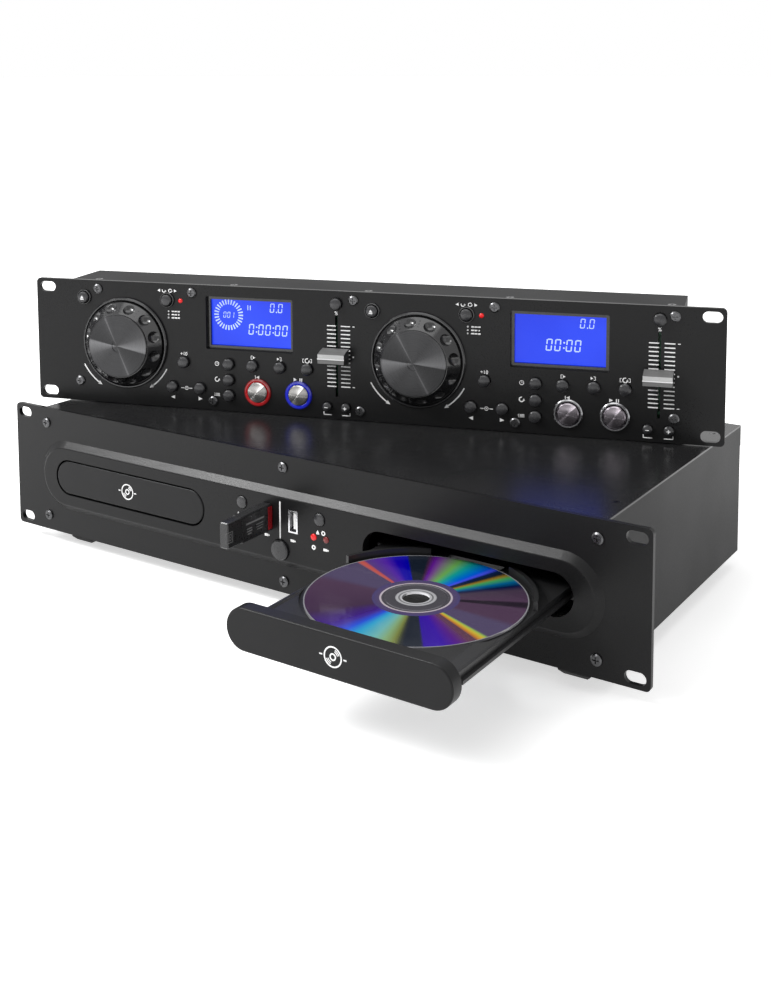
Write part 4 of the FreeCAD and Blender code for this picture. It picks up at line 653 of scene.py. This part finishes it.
def dress_controller():
    inverse = CONTROLLER.inverted()
    turn = inverse.to_3x3()
    for node, material in (("controller_front_panel", "panel"), ("controller_case", "case"),
                           ("controller_screws", "screw")):
        dress(node, (material, None))
    lamps = [spot(CONTROLLER, deck + "_jog_mode_button")[0] + JOG_LAMP_FROM_BUTTON for deck in DECKS]

    def depth(place):
        return (inverse @ place).y / MM

    def lamp(place, _):
        seen = inverse @ place / MM
        return (seen.y < JOG_LAMP_BACK and seen.z > JOG_LAMP_LOW
                and any(abs(seen.x - x) < JOG_LAMP_HALF for x in lamps))

    def near(node, radius):
        centre = middle(node)
        return lambda place, _: (place - centre).cross(INTO).length < radius * MM

    dress("controller_board", ("red_lamp", lamp),
          ("gloss", lambda place, _: depth(place) > CONTROLLER_SOCKETS_Y), ("board", None))
    dress("displays", ("lcd", lambda place, _: abs(depth(place) - LCD_FRONT) < 0.2), ("gloss", None))
    dress("control_bezels",
          ("red_ring", near("left_cue_button", LIT_RING_RADIUS)),
          ("blue_ring", near("left_play_button", LIT_RING_RADIUS)),
          ("ring", near("right_cue_button", LIT_RING_RADIUS)),
          ("ring", near("right_play_button", LIT_RING_RADIUS)), ("bezel", None))
    for deck in DECKS:
        inside = near(deck + "_jog_wheel", JOG_CAP_RADIUS)
        cap = lambda place, normal: inside(place, normal) and -depth(place) > JOG_CAP_PROUD
        dress(deck + "_jog_wheel", (deck + "_cap", cap), (deck + "_rim", None))
        for name in BUTTONS:
            button = deck + "_" + name
            dress(button + "_button", (button if name in TRANSPORT_PAINTED_FANS else "button", None))
        dress_fader(deck, turn)


def dress_fader(deck, turn):
    """A white line across the cap's front, with a painted highlight above it in silver and painted shade below
    it in grey; grey on the slopes, dark elsewhere.
    """
    line = spot(CONTROLLER, deck + "_pitch_fader")[1] + CONTROLLER_MIDDLE

    def front(_, normal):
        return (turn @ normal).y < -0.9

    def slope(_, normal):
        return (turn @ normal).z > 0.3 and (turn @ normal).y < -0.02

    dress(deck + "_pitch_fader",
          ("mark", lambda place, normal: front(place, normal) and abs(place.z / MM - line) < FADER_LINE_HALF),
          ("fader_light", lambda place, normal: front(place, normal) and place.z / MM > line),
          ("fader_mid", front), ("fader_mid", slope), ("fader_dark", None))


dress_player()
dress_controller()


# ---------------------------------------------------------------- marks on the controller's decks

# Heights and distances of the signs from their buttons, in millimetres
TEXT = 2.4
SIGN_ABOVE = 5.9
JOG_SIGN_ABOVE = 6.6
TRANSPORT_SIGN_ABOVE = 10.5
SIGN_BESIDE = 9.0
BRACKET = 2.7
JOG_ROWS = (-7.95, -10.25, -12.45)
JOG_ARC_INNER, JOG_ARC_OUTER = 36.0, 36.9
JOG_ARC_TURN, JOG_ARC_HALF, JOG_ARC_TIP = 48, 14, 33
TICKS = 16
TICK_TOP = 20.05
TICK_GAP = 2.78
TICK_HEIGHT = 0.75
FADER_MIDDLE = -0.8


def turn_icon(marks, x, z, radius, start=60.0, end=360.0):
    """A bent arrow round a point."""
    line = radius * 0.22
    marks.band(x, z, radius - line, radius + line, start, end, 14)
    tip = math.radians(end)
    marks.arrow(x + radius * math.cos(tip), z + radius * math.sin(tip), radius * 0.9, radius * 1.1, end + 90)


def clock_icon(marks, x, z, radius):
    """A dial with two hands."""
    marks.band(x, z, radius * 0.75, radius, 0, 360, 12)
    marks.bar(x, z + radius * 0.3, radius * 0.2, radius * 0.6)
    marks.bar(x + radius * 0.22, z, radius * 0.5, radius * 0.2)


def list_icon(marks, x, z, width):
    """Three lines, each after a dot."""
    for level in (-0.8, 0.0, 0.8):
        marks.dot(x - width / 2, z + level, 0.28, 8)
        marks.bar(x + width * 0.1, z + level, width * 0.8, 0.36)


def bracket(marks, x, z, height, side):
    """A square bracket that opens to the right for side 1 and to the left for side -1."""
    line, reach = height * 0.14, height * 0.4
    marks.bar(x, z, line, height)
    for row in (-1, 1):
        marks.bar(x + side * reach / 2, z + row * (height - line) / 2, reach, line)


def jog_mode_marks(marks, x, z):
    """Two turn signs between arrows, and a list of three settings."""
    for side in (-1, 1):
        turn_icon(marks, x + side * 2.4, z + JOG_SIGN_ABOVE, 1.2, 90 - 60 * side, 360)
    for side, angle in ((1, 0), (-1, 180)):
        marks.arrow(x + side * 6.3, z + JOG_SIGN_ABOVE, 2.0, 2.3, angle)
    for row, level in enumerate(JOG_ROWS):
        marks.band(x + 0.9, z + level, 0.25, 0.55, 0, 360, 8)
        for column in range(3):
            width = 1.9 if column < 3 - row % 2 else 1.0
            marks.bar(x + 4.2 + column * 2.2, z + level, width, 0.9, 0.1)


def track_marks(marks, back_x, forward_x, z):
    """An arrow under each track button, and a disc between two lines in their middle."""
    for x, angle in ((back_x, 180), (forward_x, 0)):
        marks.arrow(x, z - 7.6, 3.0, 2.6, angle)
    x = (back_x + forward_x) / 2
    marks.band(x, z - 0.6, 1.0, 1.35, 0, 360, 12)
    marks.dot(x, z - 0.6, 0.35, 8)
    for side in (-1, 1):
        marks.bar(x + side * 3.1, z - 0.6, 2.4, 0.5)


def loop_marks(marks, at):
    """In, out and again: arrows and a turn in square brackets."""
    for name, side in (("loop_in", 1), ("loop_out", -1)):
        x, z = at[name]
        bracket(marks, x - side * 1.0, z + SIGN_ABOVE, BRACKET, side)
        marks.arrow(x + side * 1.2, z + SIGN_ABOVE, 1.7, 2.0, 0)
    x, z = at["reloop"]
    turn_icon(marks, x, z + SIGN_ABOVE, 1.5, 70, 360)
    for side in (-1, 1):
        bracket(marks, x + side * 3.2, z + SIGN_ABOVE, BRACKET, -side)


def transport_marks(marks, at):
    """Back to the start for cue; a triangle and two bars for play and pause."""
    x, z = at["cue"]
    marks.bar(x - 1.6, z + TRANSPORT_SIGN_ABOVE, 0.5, 2.2)
    marks.arrow(x + 0.1, z + TRANSPORT_SIGN_ABOVE, 2.3, 2.3, 180)
    x, z = at["play"]
    marks.arrow(x - 2.2, z + TRANSPORT_SIGN_ABOVE, 2.4, 2.3, 0)
    for step in (0, 1):
        marks.bar(x + 1.2 + step * 1.3, z + TRANSPORT_SIGN_ABOVE, 0.6, 2.2)


def fader_marks(marks, x):
    """A scale on both sides of the slot, with its ends and middle picked out."""
    for step in range(TICKS):
        level = TICK_TOP - step * TICK_GAP
        marks.bar(x - 4.75, level, 6.3, TICK_HEIGHT)
        marks.bar(x + 5.2, level, 6.6, TICK_HEIGHT)
        if step in (0, TICKS - 1):
            marks.bar(x + 10.9, level, 1.6, 0.6)
    marks.dot(x + 10.6, FADER_MIDDLE, 0.6, 12)


def jog_arcs(marks, x):
    """Two arcs with arrowheads under the jog wheel."""
    radius = (JOG_ARC_INNER + JOG_ARC_OUTER) / 2
    for side in (-1, 1):
        centre = 270 + side * JOG_ARC_TURN
        marks.band(x, 0, JOG_ARC_INNER, JOG_ARC_OUTER, centre - JOG_ARC_HALF, centre + JOG_ARC_HALF, 16)
        tip = math.radians(270 + side * JOG_ARC_TIP)
        marks.arrow(x + radius * math.cos(tip), radius * math.sin(tip), 3.0, 2.6,
                    math.degrees(tip) - side * 90)


def deck_marks(marks, deck):
    at = {name: spot(CONTROLLER, deck + "_" + name + "_button") for name in BUTTONS}
    jog_mode_marks(marks, *at["jog_mode"])
    x, z = at["plus_ten"]
    marks.word(x, z + 5.7, TEXT, "+10")
    track_marks(marks, at["track_back"][0], at["track_forward"][0], at["track_back"][1])
    x, z = at["time"]
    clock_icon(marks, x - SIGN_BESIDE, z, 1.6)
    x, z = at["repeat"]
    turn_icon(marks, x - SIGN_BESIDE, z, 1.5, 80, 360)
    x, z = at["program"]
    list_icon(marks, x - SIGN_BESIDE, z, 3.8)
    loop_marks(marks, at)
    transport_marks(marks, at)
    x, z = at["pitch"]
    marks.word(x, z - 6.4, TEXT, "%")
    fader_marks(marks, spot(CONTROLLER, deck + "_pitch_fader")[0])
    for name, side in (("bend_down", -1), ("bend_up", 1)):
        x, z = at[name]
        marks.bar(x - side * 0.2, z - 5.7, 5.4, 0.55)
        marks.bar(x + side * 2.7, z - 4.7, 0.55, 2.0)
    jog_arcs(marks, spot(CONTROLLER, deck + "_jog_wheel")[0])


controller_marks = Marks(CONTROLLER, 0.0)
for deck in DECKS:
    deck_marks(controller_marks, deck)
controller_marks.finish("controller_marks", "controller", MATERIALS["mark"])


def cap_sign(name, draw):
    """A sign on a button's cap, which moves with it."""
    node = name + "_button"
    x, z = spot(CONTROLLER, node)
    marks = Marks(CONTROLLER, front_of(CONTROLLER, node))
    draw(marks, x, z)
    marks.finish(name + "_sign", name, MATERIALS["mark"])


def eject_sign(marks, x, z):
    marks.arrow(x, z + 0.5, 2.0, 2.6, 90)
    marks.bar(x, z - 1.15, 2.6, 0.6)


def minus_sign(marks, x, z):
    marks.bar(x, z, 2.4, 0.55)


def plus_sign(marks, x, z):
    minus_sign(marks, x, z)
    for side in (-1, 1):
        marks.bar(x, z + side * 0.74, 0.55, 0.93)


for deck in DECKS:
    cap_sign(deck + "_eject", eject_sign)
    cap_sign(deck + "_bend_down", minus_sign)
    cap_sign(deck + "_bend_up", plus_sign)


# ---------------------------------------------------------------- displays, jog dots, player's marks

# The display's middle, from the jog wheel's middle, and the left one's ring of bars
WINDOW = (94.0, 17.7)
RING_MIDDLE = (-16.4, 5.2)
RING_BARS = 28
RING_BAR = [(7.4, -0.40), (10.8, -0.55), (10.8, 0.55), (7.4, 0.40)]


def display_ring(marks, x, z):
    """A ring of bars that widen outwards, with a track number in its middle."""
    for step in range(RING_BARS):
        angle = 2 * math.pi * step / RING_BARS
        along = Vector((math.cos(angle), math.sin(angle)))
        across = Vector((-along.y, along.x))
        corners = [along * out + across * half for out, half in RING_BAR]
        marks.shape([(x + corner.x, z + corner.y) for corner in corners])
    marks.digits(x - 3.9, z, 4.2, "001")


def display_marks(deck):
    x, z = spot(CONTROLLER, deck + "_jog_wheel")[0] + WINDOW[0], WINDOW[1]
    marks = Marks(CONTROLLER, -LCD_FRONT, 0.05)
    if deck == "left":
        display_ring(marks, x + RING_MIDDLE[0], z + RING_MIDDLE[1])
        for side in (-1, 1):
            marks.bar(x - 1.1 + side * 0.9, z + 10.8, 0.6, 3.4)
        marks.digits(x + 14.4, z + 11.4, 6.4, "0.0")
        marks.digits(x - 1.5, z - 4.2, 7.6, "0:00:00")
    else:
        marks.digits(x + 13.4, z + 11.4, 6.4, "0.0")
        marks.digits(x - 8.6, z - 3.6, 8.0, "00:00")
    marks.finish(deck + "_display_marks", "controller", MATERIALS["segment"])


for deck in DECKS:
    display_marks(deck)

# The rows of dots: how many, where the first one is in degrees, which keeps them between the wheel's dimples,
# and each dot's size
JOG_DOT_ROWS = 12
JOG_DOT_TURNS = {"left": 0.0, "right": -7.0}
JOG_DOT_RADIUS = 0.55


def jog_dots(deck):
    """Short rows of raised dots down the wheel's side, between the finger dimples."""
    x, _ = spot(CONTROLLER, deck + "_jog_wheel")
    mesh = bmesh.new()
    for step in range(JOG_DOT_ROWS):
        angle = 2 * math.pi * step / JOG_DOT_ROWS + math.radians(JOG_DOT_TURNS[deck])
        for row in range(3):
            share = (row + 0.8) / 3.6
            radius = 29.0 - share * 6.0
            proud = 3.7 + share * 7.0
            place = Vector((x + radius * math.cos(angle), -proud, radius * math.sin(angle))) * MM
            bmesh.ops.create_icosphere(mesh, subdivisions=2, radius=JOG_DOT_RADIUS * MM,
                                       matrix=CONTROLLER @ Matrix.Translation(place))
    piece(deck + "_jog_dots", mesh, deck + "_jog", MATERIALS[deck + "_rim"])


for deck in DECKS:
    jog_dots(deck)


def disc_sign(marks, x, z, size):
    """A plain disc: a ring round a hub, with arcs of light on two sides, between two short bars."""
    marks.band(x, z, size * 0.86, size, 0, 360, 32)
    marks.band(x, z, size * 0.22, size * 0.36, 0, 360, 16)
    for start in (20, 200):
        marks.band(x, z, size * 0.50, size * 0.60, start, start + 50, 8)
        marks.band(x, z, size * 0.68, size * 0.78, start, start + 50, 8)
    for side in (-1, 1):
        marks.bar(x + side * (size + 1.8), z, 1.8, 0.7)


def stick_sign(marks, x, z):
    """A plain sign for a memory stick: a body with its plug."""
    marks.bar(x - 0.7, z, 2.8, 1.6)
    marks.bar(x + 1.3, z, 1.0, 0.9)


SOURCE_X = 31.0
USB_SIGN_Z = -7.4
LAMP_SIGN_Z = LAMP_Z - 6.4


def player_marks():
    """A line between the sockets, and signs at the source buttons, the sockets and the lamps."""
    marks = Marks(PLAYER, PLATEAU_PROUD)
    marks.bar(0, 3.95, 1.0, 23.6)
    for side in (-1, 1):
        x = side * SOURCE_X
        marks.arrow(x - 2.2, 2.2, 2.0, 2.2, 90)
        marks.bar(x - 2.2, 0.8, 2.2, 0.5)
        marks.band(x + 2.0, 1.9, 0.7, 1.5, 0, 360, 16)
        stick_sign(marks, side * USB_X, USB_SIGN_Z)
    marks.band(LAMPS_X[0], LAMP_SIGN_Z, 0.6, 1.5, 0, 360, 16)
    stick_sign(marks, LAMPS_X[1], LAMP_SIGN_Z)
    marks.finish("player_marks", "player", MATERIALS["mark"])
    for deck in DECKS:
        node = deck + "_tray_door"
        door = Marks(PLAYER, front_of(PLAYER, node))
        disc_sign(door, *spot(PLAYER, node), 5.4)
        door.finish(deck + "_door_sign", deck + "_tray_body", MATERIALS["mark"])


player_marks()


# The sign on the stick's grip, in millimetres from the panel and up from the stick's middle
GRIP_SIGN = (-44.0, -1.0)


def stick_marks():
    """Rows of bars on the stick's broad side, and a number in a frame on its grip."""
    x, z = spot(PLAYER, "memory_stick")
    side = PLAYER @ Matrix.Translation(Vector((x, 0, z)) * MM) @ Matrix.Rotation(math.pi / 2, 4, "Z")
    body = Marks(side, STICK_HALF_WIDTH, 0.05)
    body.bar(-20.0, 2.6, 17.0, 1.1)
    for row, width in ((-0.6, 5.0), (-2.2, 5.0), (-3.8, 3.6)):
        body.bar(-25.4, row, width, 0.7)
        body.bar(-15.6, row + 0.4, width + 1.6, 0.5)
    body.finish("stick_body_marks", "stick", MATERIALS["grey_mark"])
    grip = Marks(side, STICK_HALF_WIDTH - STICK_STEP, 0.05)
    x, z = GRIP_SIGN
    grip.digits(x, z, 4.2, "8")
    for across in (-3.2, 3.2):
        grip.bar(x + across, z, 0.4, 6.4)
        grip.bar(x, z + across, 6.4, 0.4)
    grip.finish("stick_grip_marks", "stick", MATERIALS["grey_mark"])


stick_marks()


# ---------------------------------------------------------------- camera, lights and floor

def add_camera():
    data = bpy.data.cameras.new("camera")
    data.lens, data.shift_y = CAMERA_LENS, CAMERA_SHIFT
    camera = bpy.data.objects.new("camera", data)
    turn = (Matrix.Rotation(math.radians(CAMERA_YAW), 4, "Z")
            @ Matrix.Rotation(math.radians(90 - CAMERA_DOWN), 4, "X")
            @ Matrix.Rotation(math.radians(CAMERA_ROLL), 4, "Z"))
    camera.matrix_world = Matrix.Translation(CAMERA_PLACE) @ turn
    bpy.context.scene.collection.objects.link(camera)
    bpy.context.scene.camera = camera


def add_area(name, place, aim, size, power):
    """A rectangular lamp at a place, turned towards its aim."""
    data = bpy.data.lights.new(name, "AREA")
    data.shape, data.size, data.size_y, data.energy = "RECTANGLE", size[0], size[1], power
    lamp = bpy.data.objects.new(name, data)
    lamp.location = place
    lamp.rotation_euler = (Vector(aim) - Vector(place)).to_track_quat("-Z", "Y").to_euler()
    bpy.context.scene.collection.objects.link(lamp)


def seen_rays(tree):
    """1 for the rays that show the background: from the camera, off gloss and through glass."""
    rays = tree.nodes.new("ShaderNodeLightPath")
    seen = rays.outputs["Is Camera Ray"]
    for kind in ("Is Glossy Ray", "Is Transmission Ray"):
        either = tree.nodes.new("ShaderNodeMath")
        either.operation = "MAXIMUM"
        tree.links.new(seen, either.inputs[0])
        tree.links.new(rays.outputs[kind], either.inputs[1])
        seen = either.outputs[0]
    return seen


def add_floor():
    """A white paper floor that takes the object's shadow near it and is plain white farther off."""
    low = cad_box[0][2]
    mesh = bmesh.new()
    mesh.faces.new([mesh.verts.new((x * FLOOR_HALF, y * FLOOR_HALF, low))
                    for x, y in ((-1, -1), (1, -1), (1, 1), (-1, 1))])
    data = bpy.data.meshes.new("floor")
    mesh.to_mesh(data)
    mesh.free()
    floor = bpy.data.objects.new("floor", data)
    bpy.context.scene.collection.objects.link(floor)
    paper = Shader("floor_paper", (0.82, 0.82, 0.82), 0.9)
    paper.color(paper.mix(paper.noise(3.0), (0.81, 0.81, 0.81), (0.83, 0.83, 0.83)))
    paper.bsdf.inputs["Emission Color"].default_value = (1, 1, 1, 1)
    lift = paper.between(paper.vector("LENGTH", paper.place), FLOOR_LIFT, 1.0, *FLOOR_FADE)
    paper.link(paper.math("MULTIPLY", seen_rays(paper.tree), lift), paper.bsdf.inputs["Emission Strength"])
    data.materials.append(paper.material)


def add_world():
    """A white world for the rays that show the background, and a grey one for those that light the object."""
    world = bpy.data.worlds.new("studio")
    world.use_nodes = True
    tree = world.node_tree
    background = tree.nodes["Background"]
    level = tree.nodes.new("ShaderNodeMapRange")
    level.inputs["To Min"].default_value = WORLD_LEVEL
    level.inputs["To Max"].default_value = 1.0
    tree.links.new(seen_rays(tree), level.inputs["Value"])
    tree.links.new(level.outputs["Result"], background.inputs["Strength"])
    background.inputs["Color"].default_value = (1, 1, 1, 1)
    bpy.context.scene.world = world


add_camera()
add_world()
add_floor()
add_area("key", (-0.45, -1.45, 1.5), (0, 0.05, 0.03), (0.9, 0.9), 12)
add_area("slopes", (-1.10, -1.05, 1.32), (0, 0, 0), (0.9, 0.45), 38)
add_area("top", (0.1, -0.1, 1.9), (0, 0.0, 0), (1.8, 1.2), 12)
add_area("right", (1.7, -0.3, 0.9), (0.1, 0.1, 0), (0.9, 1.4), 2)

bpy.context.scene.view_settings.view_transform = "Standard"
